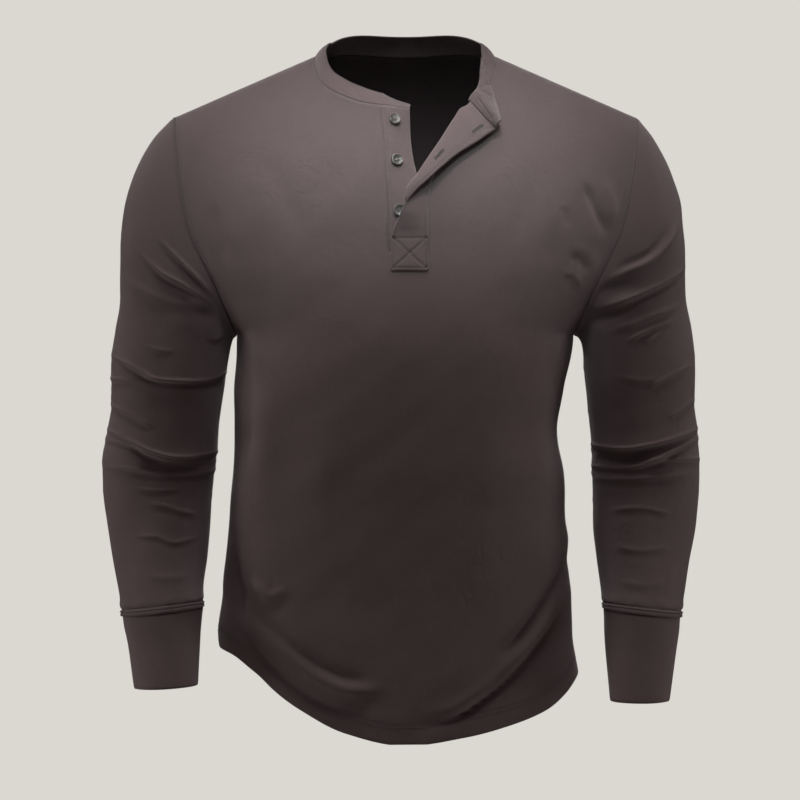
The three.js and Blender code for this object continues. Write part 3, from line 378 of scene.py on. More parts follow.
@dataclass
class Grid:
    """One layer of cloth: rows of points along it and columns across it.

    closed says that the last column meets the first, flip turns the faces over, and keep says which faces
    there are. weld gives for each point the number of the one it is joined to, and breaks the columns after
    which a new part of the cloth begins.
    """

    points: Array
    closed: bool = False
    flip: bool = False
    keep: Array | None = None
    weld: Array | None = None
    breaks: tuple[int, ...] = ()

    def faces(self, index: Array, step: int = 1) -> Array:
        """Finds the corners of each face out of a grid of numbers.

        Args:
            index: the grid of numbers.
            step: how many rows and columns make one face.

        Returns:
            Four numbers for each face, in the order that makes it look out.
        """
        rows = np.arange(0, index.shape[0], step)
        whole = np.ones((index.shape[0] - 1, index.shape[1] - 1), bool)
        keep = whole if self.keep is None else self.keep
        quads, part = [], 0
        for last in [*self.breaks, index.shape[1] - 1]:
            columns = np.arange(part, last + 1, step)
            net = index[np.ix_(rows, columns)]
            four = np.stack([net[:-1, :-1], net[:-1, 1:], net[1:, 1:], net[1:, :-1]], axis=-1)
            quads.append(four[keep[np.ix_(rows[:-1], columns[:-1])]])
            part = last + 1
        quads = np.concatenate(quads)
        return quads[:, ::-1] if self.flip else quads

    def corners(self) -> Array:
        """Returns the corners of each face as numbers of points."""
        return self.numbers()[self.faces(self.spots())]

    def spots(self) -> Array:
        """Returns a grid of running numbers, with one column more where the cloth is closed."""
        rows, columns = self.points.shape[0], self.points.shape[1] + self.closed
        return np.arange(rows * columns).reshape(rows, columns)

    def numbers(self) -> Array:
        """Returns the number of the point at each spot."""
        index = self.index()
        return (np.concatenate([index, index[:, :1]], axis=1) if self.closed else index).reshape(-1)

    def index(self) -> Array:
        """Returns the number of each point, or of the one it is joined to."""
        rows, columns = self.points.shape[:2]
        return np.arange(rows * columns).reshape(rows, columns) if self.weld is None else self.weld

    def normals(self) -> Array:
        """Returns the way out of the cloth at each point."""
        flat, quads = self.points.reshape(-1, 3), self.corners()
        total = np.zeros_like(flat)
        for k in range(4):
            here = flat[quads[:, k]]
            turn = np.cross(flat[quads[:, (k + 1) % 4]] - here, flat[quads[:, (k + 3) % 4]] - here)
            np.add.at(total, quads[:, k], turn)
        return unit(total)[self.index()]

    def flat(self) -> Array:
        """Returns each spot's place on the flat cloth in metres."""
        p = np.concatenate([self.points, self.points[:, :1]], axis=1) if self.closed else self.points
        across = np.linalg.norm(np.diff(p, axis=1), axis=2)
        along = np.linalg.norm(np.diff(p, axis=0), axis=2)
        u = np.pad(np.cumsum(across, axis=1), ((0, 0), (1, 0)))
        v = np.pad(np.cumsum(along, axis=0), ((1, 0), (0, 0)))
        u = u - u[:, [p.shape[1] // 2]]
        return np.stack([u, v], axis=-1).reshape(-1, 2) * MM

    def press(self, line: Array, depth: float, width: float) -> None:
        """Sinks the cloth along a line of stitches.

        Args:
            line: points of the line.
            depth: how far it sinks.
            width: how far to each side it does.
        """
        fine, at = np.linspace(0, len(line) - 1, 4 * len(line)), np.arange(len(line))
        line = np.stack([np.interp(fine, at, line[:, k]) for k in range(3)], axis=-1)
        near = np.array([np.linalg.norm(line - p, axis=1).min() for p in self.points.reshape(-1, 3)])
        near = near.reshape(*self.points.shape[:2], 1)
        self.points = self.points - self.normals() * depth * np.exp(-((near / width) ** 2))

    def at(self, row: Array, column: Array) -> tuple[Array, Array]:
        """Returns points and ways out at places between rows and columns."""
        values = []
        for layer in (self.points, self.normals()):
            j = np.clip(np.floor(row).astype(int), 0, layer.shape[0] - 2)
            i = np.clip(np.floor(column).astype(int), 0, layer.shape[1] - 2)
            a, b = (row - j)[:, None], (column - i)[:, None]
            low = layer[j, i] * (1 - b) + layer[j, i + 1] * b
            high = layer[j + 1, i] * (1 - b) + layer[j + 1, i + 1] * b
            values.append(low * (1 - a) + high * a)
        return values[0], unit(values[1])

    def inset(self, edge: Array, rows: Array, columns: Array, off: float) -> tuple[Array, Array]:
        """Finds the line that runs beside an edge.

        Args:
            edge: points of the edge.
            rows: the rows that the line crosses.
            columns: columns going in from the edge.
            off: how far from the edge the line runs.

        Returns:
            Points of the line and the ways out there.
        """
        near = self.points[np.ix_(rows, columns)]
        gap = np.linalg.norm(near[:, :, None, :] - edge[None, None, :, :], axis=3).min(axis=2)
        gap = np.maximum.accumulate(gap, axis=1)
        place = np.array([np.interp(off, g, np.arange(len(columns))) for g in gap])
        step = float(columns[1] - columns[0])
        return self.at(rows.astype(float), columns[0] + place * step)


@dataclass(frozen=True)
class Fold:
    """A crease seen from the front: a ridge that rises so many millimetres, or a trough if rise is negative.

    left and right say how far the cloth takes to come back to its form on either side of the line's way. For
    a line that runs to +X, left is above it and right below. taper is the share of the line over which each
    end fades, and uneven how much the height wanders along it. slope, ridge and dip share the rise out
    between the long slope, the crisp edge and the dip under the steep side.
    """

    face: Face
    rise: float
    left: float
    right: float
    line: tuple[Pair, ...]
    taper: float = 0.32
    uneven: float = 0.18
    slope: float = 0.5
    ridge: float = 0.78
    dip: float = 0.42

    def path(self) -> Array:
        """Returns the crease's line as a smooth run of points."""
        p = np.asarray(self.line, float)
        p = np.vstack([2 * p[0] - p[1], p, 2 * p[-1] - p[-2]])
        t = np.linspace(0, 1, 8, endpoint=False)[:, None]
        runs = []
        for a, b, c, d in zip(p, p[1:], p[2:], p[3:]):
            cubic = (2 * b, c - a, 2 * a - 5 * b + 4 * c - d, 3 * b - a - 3 * c + d)
            runs.append(0.5 * (cubic[0] + cubic[1] * t + cubic[2] * t**2 + cubic[3] * t**3))
        return np.vstack([*runs, p[-2]])

    def offset(self, points: Array, normals: Array) -> Array:
        """Returns how far out the crease moves each point of cloth."""
        path = self.path()
        x, z = points[:, 0], points[:, 2]
        best = np.full(len(points), np.inf)
        along, side = np.zeros(len(points)), np.ones(len(points))
        for k, (a, b) in enumerate(zip(path, path[1:])):
            dx, dz = b - a
            t = np.clip(((x - a[0]) * dx + (z - a[1]) * dz) / (dx * dx + dz * dz), 0, 1)
            off = np.hypot(x - a[0] - t * dx, z - a[1] - t * dz)
            nearer = off < best
            best = np.where(nearer, off, best)
            along = np.where(nearer, (k + t) / (len(path) - 1), along)
            side = np.where(nearer, np.where(dx * (z - a[1]) - dz * (x - a[0]) < 0, -1.0, 1.0), side)
        seen = smooth((self.face.value * normals[:, 1] + 0.3) / 0.5)
        taper = smooth(np.minimum(along, 1 - along) / self.taper)
        taper = taper * (1 + self.uneven * np.sin(9 * along + self.left))
        width = np.where(side > 0, self.left, self.right)
        steep = min(self.left, self.right)
        away = (np.hypot(best, 0.5 * steep) - 0.5 * steep) / width
        crisp = np.exp(-((best / (0.62 * steep)) ** 2))
        under = np.exp(-(((best - 1.7 * steep) / (0.9 * steep)) ** 2)) * (width <= steep)
        shape = self.slope * np.exp(-away) + self.ridge * crisp - self.dip * under
        return seen * taper * self.rise * shape


def crease(grid: Grid, folds: Sequence[Fold], fade: Callable[[Array], Array], ripple: float = 0.5) -> None:
    """Moves a grid's points out and in by its folds.

    Args:
        grid: the cloth.
        folds: its creases.
        fade: how much of the folding reaches each point.
        ripple: how far the cloth wanders between the folds.
    """
    flat, normals = grid.points.reshape(-1, 3), grid.normals().reshape(-1, 3)
    total = np.zeros(len(flat))
    for fold in folds:
        line = np.asarray(fold.line)
        reach = 5 * max(fold.left, fold.right)
        low, high = line.min(axis=0) - reach, line.max(axis=0) + reach
        near = (flat[:, 0] > low[0]) & (flat[:, 0] < high[0]) & (flat[:, 2] > low[1]) & (flat[:, 2] < high[1])
        total[near] += fold.offset(flat[near], normals[near])
    x, y, z = flat.T
    waves = np.sin(x / 17 + 1.3 * np.sin(z / 43)) * np.sin(z / 31 + y / 23 + 0.7)
    waves += 0.6 * np.sin(x / 9.5 - z / 14 + 2.1) * np.sin(z / 19 - y / 12)
    total += ripple * waves
    grid.points = (flat + normals * (total * fade(flat))[:, None]).reshape(grid.points.shape)


def front(rise: float, left: float, right: float, *line: Pair) -> Fold:
    """Returns a fold on the front."""
    return Fold(FRONT, rise, left, right, line)


def back(rise: float, left: float, right: float, *line: Pair) -> Fold:
    """Returns a fold on the back."""
    return Fold(BACK, rise, left, right, line)


FRONT, BACK = Face.FRONT, Face.BACK
TORSO_FOLDS = [
    # lower right of the shirt: the side tucks in, then the cloth hangs in a long curve to the hem
    front(-4.5, 10, 7, (-175, -478), (-174, -528), (-168, -558), (-163, -590)),
    front(3.0, 11, 8, (-157, -530), (-138, -551), (-116, -541)),
    front(-2.6, 14, 9, (-168, -553), (-135, -585), (-101, -611), (-60, -631), (-15, -637)),
    front(4.2, 14, 9, (-164, -566), (-112, -613), (-78, -636), (-48, -644), (-14, -638)),
    front(-3.0, 7.5, 10, (-173, -579), (-142, -619), (-105, -649), (-75, -663), (-35, -669)),
    # lower left: two hard creases from the side seam down to the hem
    front(-4.4, 8, 7, (176, -506), (148, -551), (122, -585), (92, -618)),
    front(3.6, 9, 12, (170, -538), (146, -574), (118, -608), (86, -636)),
    front(-4.8, 8, 7, (174, -552), (141, -596), (111, -630), (80, -656), (45, -675), (4, -679)),
    front(1.6, 10, 12, (178, -470), (166, -498), (150, -520)),
    # flanks and belly
    front(-3.2, 13, 13, (-168, -285), (-160, -360), (-166, -440)),
    front(2.0, 18, 18, (-150, -330), (-144, -400), (-150, -480)),
    front(-2.4, 15, 15, (158, -300), (160, -380), (162, -450)),
    front(1.2, 24, 24, (76, -330), (86, -430), (74, -530)),
    front(1.1, 24, 24, (-70, -350), (-80, -450), (-66, -560)),
    # chest, by the armholes
    front(-2.4, 6.5, 9, (180, -132), (192, -159), (208, -192)),
    front(1.6, 8, 8, (198, -124), (210, -152), (214, -178)),
    front(-2.4, 6.5, 6.5, (164, -211), (178, -213), (184, -226)),
    front(1.6, 7, 5, (158, -224), (172, -228), (180, -244)),
    front(-1.2, 6, 6, (158, -158), (162, -168), (165, -180)),
    front(-1.6, 8, 8, (-196, -150), (-188, -186), (-176, -222)),
    front(1.2, 8, 5, (-180, -262), (-158, -292), (-140, -330)),
    front(1.2, 8, 5, (182, -262), (160, -292), (144, -332)),
    front(-1.2, 16, 16, (-150, -90), (-120, -150), (-96, -205)),
    front(-1.2, 16, 16, (150, -90), (126, -150), (104, -205)),
    # back
    back(3.2, 14, 7, (-150, -330), (-60, -398), (60, -404), (150, -340)),
    back(3.4, 13, 7, (-165, -392), (-70, -446), (50, -443), (160, -388)),
    back(2.4, 10, 7, (-140, -430), (-60, -478), (40, -480), (110, -456)),
    back(-3.2, 8, 7, (-172, -520), (-120, -570), (-60, -606), (10, -640)),
    back(3.0, 11, 10, (-168, -548), (-118, -594), (-56, -628)),
    back(-3.4, 8, 7, (172, -510), (132, -560), (92, -604), (40, -646)),
    back(3.0, 11, 10, (168, -540), (128, -586), (80, -626)),
    back(1.6, 9, 7, (-172, -268), (-130, -306), (-70, -326)),
    back(1.6, 9, 7, (172, -268), (128, -310), (66, -330)),
    back(-1.6, 16, 16, (-150, -100), (-134, -180), (-96, -240)),
    back(-1.6, 16, 16, (152, -104), (136, -176), (100, -236)),
    back(1.2, 22, 22, (-84, -200), (-60, -280), (-54, -350)),
    back(1.2, 22, 22, (86, -196), (64, -276), (58, -352)),
]
SLEEVE_R_FOLDS = [
    # drags into the underarm
    front(3.2, 9, 3.0, (-256, -184), (-228, -212), (-206, -233), (-190, -254)),
    front(3.4, 10, 3.0, (-274, -200), (-246, -225), (-223, -238), (-192, -256)),
    front(2.4, 13, 7, (-290, -226), (-253, -249), (-218, -256), (-190, -258)),
    front(-2.2, 10, 10, (-240, -242), (-214, -260), (-190, -274)),
    front(1.4, 5, 3, (-204, -293), (-193, -290), (-181, -283)),
    front(1.3, 4, 3, (-262, -299), (-248, -303), (-232, -304)),
    # upper elbow: a thin pinched ridge in two strands
    front(4.0, 10, 2.6, (-312, -302), (-277, -321), (-256, -331), (-228, -334), (-200, -332), (-172, -314)),
    front(2.0, 5, 2.6, (-296, -309), (-270, -322), (-250, -333)),
    front(1.8, 6, 3, (-312, -330), (-289, -333), (-266, -334)),
    front(2.2, 7, 3.5, (-312, -354), (-277, -370), (-252, -384)),
    # elbow: two hard folds
    front(5.2, 11, 3.0, (-324, -378), (-280, -395), (-261, -405), (-240, -411), (-216, -411), (-178, -403)),
    front(3.4, 5, 2.8, (-322, -394), (-280, -399), (-261, -409), (-234, -416), (-180, -416)),
    front(-2.2, 8, 12, (-270, -414), (-240, -424), (-205, -424)),
    front(2.4, 6, 3.4, (-322, -422), (-275, -424), (-247, -429), (-220, -430), (-182, -424)),
    front(1.3, 5, 3, (-280, -442), (-252, -446), (-226, -444)),
    # forearm
    front(1.4, 6, 4, (-266, -458), (-245, -462), (-228, -468), (-212, -470)),
    front(1.4, 6, 3.4, (-280, -492), (-253, -493), (-234, -499), (-205, -491)),
    front(1.0, 6, 5, (-268, -530), (-240, -534), (-214, -530)),
    front(-1.6, 12, 12, (-296, -150), (-300, -220), (-302, -280)),
    # behind
    back(3.0, 10, 4, (-258, -180), (-226, -214), (-192, -250)),
    back(2.4, 9, 4, (-284, -214), (-250, -242), (-196, -266)),
    back(3.2, 11, 4, (-316, -300), (-262, -322), (-180, -318)),
    back(3.6, 10, 4, (-318, -346), (-262, -366), (-190, -368)),
    back(4.6, 10, 3.6, (-324, -388), (-262, -406), (-184, -408)),
    back(3.2, 8, 3.6, (-324, -416), (-262, -428), (-184, -424)),
    back(2.4, 8, 4, (-320, -446), (-262, -458), (-190, -452)),
    back(1.6, 8, 5, (-296, -496), (-254, -508), (-206, -502)),
]
SLEEVE_L_FOLDS = [
    # drags into the underarm
    front(4.2, 4, 11, (190, -238), (225, -223), (249, -212), (269, -191), (285, -162)),
    front(4.0, 10, 3.4, (182, -262), (215, -255), (242, -244), (266, -232), (296, -212)),
    front(-3.0, 9, 9, (184, -246), (214, -240), (240, -230)),
    front(-2.2, 9, 9, (184, -274), (212, -268), (246, -256)),
    front(2.4, 8, 4, (206, -284), (236, -274), (259, -265), (284, -257)),
    front(2.2, 6, 3, (222, -296), (249, -282), (276, -271)),
    front(1.5, 4, 2.6, (243, -297), (253, -289), (263, -281)),
    front(1.8, 6, 3.4, (244, -343), (266, -331), (298, -315)),
    front(1.0, 5, 4, (214, -328), (240, -334), (262, -330)),
    front(1.8, 6, 3.4, (266, -374), (283, -363), (302, -350)),
    # elbow
    front(5.2, 11, 3.0, (172, -396), (219, -403), (246, -400), (273, -393), (316, -378)),
    front(-2.4, 8, 8, (196, -412), (226, -414), (256, -406)),
    front(3.6, 8, 3.0, (172, -420), (225, -423), (256, -414), (276, -404), (314, -388)),
    front(2.4, 5, 3.0, (240, -417), (270, -414), (314, -415)),
    front(1.8, 7, 4, (190, -435), (240, -434), (300, -428)),
    # forearm
    front(1.2, 6, 4, (206, -468), (240, -464), (276, -471)),
    front(1.2, 6, 4, (210, -502), (240, -507), (272, -503)),
    front(1.0, 6, 5, (214, -536), (240, -541), (266, -537)),
    front(-1.6, 12, 12, (288, -140), (296, -210), (298, -270)),
    # behind
    back(3.0, 4, 10, (188, -252), (226, -214), (256, -176)),
    back(2.4, 4, 9, (196, -268), (246, -242), (280, -212)),
    back(3.2, 11, 4, (176, -318), (250, -324), (310, -304)),
    back(3.4, 10, 4, (182, -364), (252, -368), (310, -350)),
    back(4.4, 10, 3.6, (180, -404), (252, -408), (316, -390)),
    back(3.2, 8, 3.6, (180, -428), (252, -432), (316, -416)),
    back(2.4, 8, 4, (186, -456), (252, -462), (312, -448)),
    back(1.6, 8, 5, (204, -504), (246, -512), (288, -498)),
]


@dataclass
class Panel:
    """The front or the back of the body, from the hem to the neck, the shoulders and the armholes.

    form is the body's surface. strip is how many columns join the halves below the slit, foot and top are the
    rows of the underarm and the shoulder, bow is how the rows bend from the middle to the side, and quiet is
    how far from an armhole the folds reach their full height.
    """

    form: BodyForm
    face: Face
    strip: int = 14
    foot: int = ROWS_SIDE * FINE
    top: int = ROWS * FINE
    bow: float = 2.5
    quiet: float = 16.0

    def __post_init__(self) -> None:
        """Cuts and folds the panel."""
        halves = {side: self.half(side) for side in Side}
        right, left = halves[Side.RIGHT][:, ::-1], halves[Side.LEFT]
        weld, keep, breaks = None, None, ()
        if self.face is FRONT:
            share = np.linspace(0, 1, self.strip + 1)[1:-1]
            a, b = right[:, -1], left[:, 0]
            x = lerp(a[:, :1], b[:, :1], share[None, :])
            z = lerp(a[:, 2:], b[:, 2:], share[None, :])
            points = np.concatenate([right, self.form.on(x, z), left], axis=1)
            keep = np.ones((self.top, points.shape[1] - 1), bool)
            keep[self.foot :, COLUMNS : COLUMNS + self.strip] = False
            self.centre = {Side.RIGHT: COLUMNS, Side.LEFT: COLUMNS + self.strip}
        else:
            points = np.concatenate([right, left], axis=1)
            breaks = (COLUMNS,)
            weld = np.arange(points.shape[0] * points.shape[1]).reshape(points.shape[:2])
            nape = (ROWS - ROWS_NECK_BACK) * FINE + 1
            weld[:nape, COLUMNS + 1] = weld[:nape, COLUMNS]
            self.centre = {Side.RIGHT: COLUMNS, Side.LEFT: COLUMNS + 1}
        self.grid = Grid(self.ease(points), flip=self.face is BACK, keep=keep, weld=weld, breaks=breaks)
        crease(self.grid, TORSO_FOLDS, self.fade)
        flat = self.grid.points
        near = np.abs(flat[..., 1]) < SEAM_GAP / 2
        flat[..., 1] = np.where(near, self.face.value * SEAM_GAP / 2, flat[..., 1])
        self.normals = self.level(self.grid.normals())

    def ease(self, points: Array) -> Array:
        """Returns the points with the bend level with the underarm drawn out, away from seams."""
        reach, width = 12, 6.0
        kernel = np.exp(-((np.arange(-reach, reach + 1) / width) ** 2))
        kernel /= kernel.sum()
        padded = np.pad(points, ((reach, reach), (0, 0), (0, 0)), mode="edge")
        soft = sum(w * padded[k : k + len(points)] for k, w in enumerate(kernel))
        last = points.shape[1] - 1
        column = np.arange(last + 1)
        seam = smooth(np.minimum(column, last - column) / 16)[None, :, None]
        near = np.exp(-(((points[..., 2:] - UNDERARM_Z - 8) / 45) ** 2))
        return lerp(points, soft, seam * near)

    def level(self, normals: Array) -> Array:
        """Returns the ways out, level with the side and shoulder seams where the panels meet."""
        level = normals.copy()
        level[..., 1] = np.where(np.abs(self.grid.points[..., 1]) < 0.2, 0, level[..., 1])
        return unit(level)

    def fade(self, p: Array) -> Array:
        """Returns how much of the folding reaches each point."""
        edge = ARMHOLE.read("x", np.minimum(p[:, 2], SHOULDER_END_Z))
        armhole = np.where(p[:, 2] > UNDERARM_Z, smooth((edge - np.abs(p[:, 0])) / self.quiet), 1.0)
        neck = smooth((-70 - p[:, 2]) / 60)
        strip = 1 - smooth((70 - np.abs(p[:, 0] - 12)) / 30) * smooth((p[:, 2] + 262) / 40)
        return armhole * neck * (strip if self.face is FRONT else 1.0)

    def hem(self, side: Side, turn: Array) -> tuple[Array, Array]:
        """Returns the hem's turns and heights at the turns given."""
        x = self.form.point(self.face, side, turn, HEM_LEVEL)[..., 0]
        return np.asarray(turn, float) + 0 * x, (HEM.read("z", x) - ARCH_BASE_Z) / ROW_UNIT

    def slit(self, side: Side) -> Curve:
        """Returns the slit's edge as a curve from its foot to the neck."""
        table = SLIT[side]

        def curve(t: Array) -> tuple[Array, Array]:
            """Returns turns and heights at shares along the edge."""
            z = lerp(SLIT_FOOT_Z, table.last(), t)
            return self.form.cut_at(table.read("x", z), z)

        return curve

    def neckline(self, side: Side) -> Curve:
        """Returns this panel's neckline as a curve up to the shoulder seam."""
        if self.face is FRONT:
            table = NECKLINE[side]

            def curve(t: Array) -> tuple[Array, Array]:
                """Returns turns and heights at shares along the front neckline."""
                s = np.asarray(t, float) * table.last()
                turn, h = self.form.cut_at(table.read("x", s), table.read("z", s))
                end = np.asarray(t) > 0.9999
                return np.where(end, self.form.turn_at(NECK_HALF_WIDTH, 1.0), turn), np.where(end, 1.0, h)
        else:

            def curve(t: Array) -> tuple[Array, Array]:
                """Returns turns and heights at shares along the back neckline."""
                turn = np.asarray(t, float) * self.form.turn_at(NECK_HALF_WIDTH, 1.0)
                power = 2 / NECK_BACK_SECTION_SQUARE
                x = self.form.half(np.ones_like(turn)) * np.sin(turn * QUARTER) ** power
                depth = NECK_BACK_SECTION_DEPTH * np.cos(turn * QUARTER) ** power
                bow = np.maximum(0, 1 - (x / NECK_HALF_WIDTH) ** NECK_BACK_CURVE) ** (1 / NECK_BACK_CURVE)
                h = np.arccos(NECK_BACK_DEPTH * bow / depth) / QUARTER
                return self.form.turn_at(x, h), h

        return curve

    def armhole(self, t: Array) -> tuple[Array, Array]:
        """Returns the armhole's turns and heights at shares from the underarm to the shoulder."""
        h = lerp((UNDERARM_Z - ARCH_BASE_Z) / ROW_UNIT, 1.0, t)
        return np.where(np.asarray(t) == 0, 1.0, self.form.turn_at(self.form.armhole_x(h), h)), h

    def half(self, side: Side) -> Array:
        """Returns one half's points, from the middle, slit and neckline out to the side seam and armhole."""

        def place(turn: Array, h: Array) -> Array:
            """Returns the points at turns and heights on this half."""
            return self.form.point(self.face, side, turn, h)

        def run(a: Pair, b: Pair) -> Curve:
            """Returns the curve between two places."""
            return lambda t: (lerp(a[0], b[0], t), lerp(a[1], b[1], t))

        def join(*parts: tuple[Array, Array]) -> tuple[Array, Array]:
            """Returns curves end to end."""
            return tuple(np.concatenate([p[k][1 if n else 0 :] for n, p in enumerate(parts)]) for k in (0, 1))

        if self.face is FRONT:
            slit = self.slit(side)
            x = abs(SLIT_FOOT_X[side] + SLIT_COLUMN_DRIFT)
            hem_start = tuple(float(v) for v in self.hem(side, self.form.turn_at(x, np.array(HEM_LEVEL))))
            foot = tuple(float(v) for v in slit(np.array(0.0)))
            start = join(
                evenly(run(hem_start, foot), ROWS_SIDE * FINE, place),
                evenly(slit, ROWS_SLIT * FINE, place),
                evenly(self.neckline(side), ROWS_NECK_FRONT * FINE, place),
            )
        else:
            neck = self.neckline(side)
            hem_start = tuple(float(v) for v in self.hem(side, np.array(0.0)))
            nape = (0.0, float(neck(np.array(0.0))[1]))
            start = join(
                evenly(run(hem_start, nape), (ROWS - ROWS_NECK_BACK) * FINE, place),
                evenly(neck, ROWS_NECK_BACK * FINE, place),
            )
        hem_end = tuple(float(v) for v in self.hem(side, np.array(1.0)))
        underarm = (1.0, (UNDERARM_Z - ARCH_BASE_Z) / ROW_UNIT)
        end = join(
            evenly(run(hem_end, underarm), ROWS_SIDE * FINE, place),
            evenly(self.armhole, ROWS_ARMHOLE * FINE, place),
        )
        u = np.linspace(0, 1, COLUMNS + 1)[None, :]
        v = np.linspace(0, 1, self.top + 1)[:, None]
        low = self.hem(side, lerp(hem_start[0], 1.0, u[0]))
        mixed = []
        for k, w in ((0, u), (1, 1 - (1 - u) ** self.bow)):
            a, b = start[k][:, None], end[k][:, None]
            over = lerp(a[-1:], b[-1:], w)
            base = lerp(lerp(a[:1], b[:1], w), over, v)
            mixed.append(lerp(low[k][None, :], over, v) + lerp(a, b, w) - base)
        return place(np.clip(mixed[0], 0, 1), np.minimum(mixed[1], 1.0))

    def outer(self, side: Side) -> int:
        """Returns the column of a side seam and armhole."""
        return 0 if side is Side.RIGHT else self.grid.points.shape[1] - 1

    def armhole_edge(self, side: Side) -> tuple[Array, Array]:
        """Returns the armhole's points and ways out, from the underarm to the shoulder."""
        rows = slice(self.foot, self.top + 1)
        return self.grid.points[rows, self.outer(side)], self.normals[rows, self.outer(side)]

    def slit_edge(self, side: Side) -> tuple[Array, Array]:
        """Returns the slit's points and ways out, from its foot up."""
        rows = slice(self.foot, self.foot + ROWS_SLIT * FINE + 1)
        return self.grid.points[rows, self.centre[side]], self.normals[rows, self.centre[side]]

    def neck_edge(self, side: Side) -> tuple[Array, Array]:
        """Returns the neckline's points and ways out, from the middle or slit to the shoulder seam."""
        count = (ROWS_NECK_FRONT if self.face is FRONT else ROWS_NECK_BACK) * FINE
        rows = slice(self.top - count, self.top + 1)
        return self.grid.points[rows, self.centre[side]], self.normals[rows, self.centre[side]]


RINGS = "s ox oz ix iz mid deep"
SLEEVE = {
    Side.RIGHT: Table(
        RINGS,
        [
            (0, -242, -61.3, -174.8, -285.8, 0, 60), (1, -262, -82, -178.5, -290, 0, 61),
            (2, -279, -113, -180.5, -296, 0, 62), (3, -292, -156, -182.5, -306, 1, 64),
            (4, -297.7, -199, -185.5, -322, 3, 65), (5, -297.8, -243, -188.6, -343, 4, 65),
            (6, -301.5, -281, -191.7, -364, 5, 64), (7, -306, -318, -194.4, -383, 6, 62),
            (8, -305.5, -354, -195.8, -402, 6, 61), (9, -309.4, -385, -197, -418, 5, 60),
            (10, -314.8, -418, -199, -436, 3, 59), (11, -314, -445, -200.7, -454, 0, 57),
            (12, -309, -479, -201.8, -482, -8, 54), (13, -301, -516, -204.4, -514, -22, 50),
            (14, -293.5, -549, -206.8, -543, -41, 45), (15, -288, -574, -206, -564.5, -57, 40),
        ],
    ),
    Side.LEFT: Table(
        RINGS,
        [
            (0, 242, -61.3, 174.8, -285.8, 0, 60), (1, 259, -82, 179.5, -288, 0, 61),
            (2, 274.5, -113, 183.5, -294, 0, 62), (3, 288.3, -156, 185.5, -306, 1, 64),
            (4, 292.6, -199, 186.5, -322, 3, 65), (5, 292.2, -243, 188.6, -343, 4, 65),
            (6, 297.9, -281, 190.7, -364, 5, 64), (7, 302, -318, 192.7, -384, 6, 62),
            (8, 301.4, -354, 194.5, -403, 6, 61), (9, 304.2, -385, 194.8, -418, 5, 60),
            (10, 306, -418, 195, -436, 3, 59), (11, 305.4, -447, 195.2, -454, 0, 57),
            (12, 302, -479, 195, -482, -8, 54), (13, 294, -516, 197.4, -514, -22, 50),
            (14, 286.5, -549, 200.6, -546, -41, 45), (15, 280.5, -575, 202.4, -566, -57, 40),
        ],
    ),
}
CUFF = {
    Side.RIGHT: Table(
        RINGS,
        [
            (0, -288, -574.4, -206, -564.9, -57, 40), (1, -282, -600, -209, -595, -66, 36.5),
            (2, -274, -644.5, -208.5, -640.8, -85, 32.5),
        ],
    ),
    Side.LEFT: Table(
        RINGS,
        [
            (0, 280.5, -575.4, 202.4, -566.4, -57, 40), (1, 275.5, -607, 204, -604, -68, 36.5),
            (2, 267, -656.6, 206, -656.6, -88, 32),
        ],
    ),
}
RING_SQUARE = 2.15


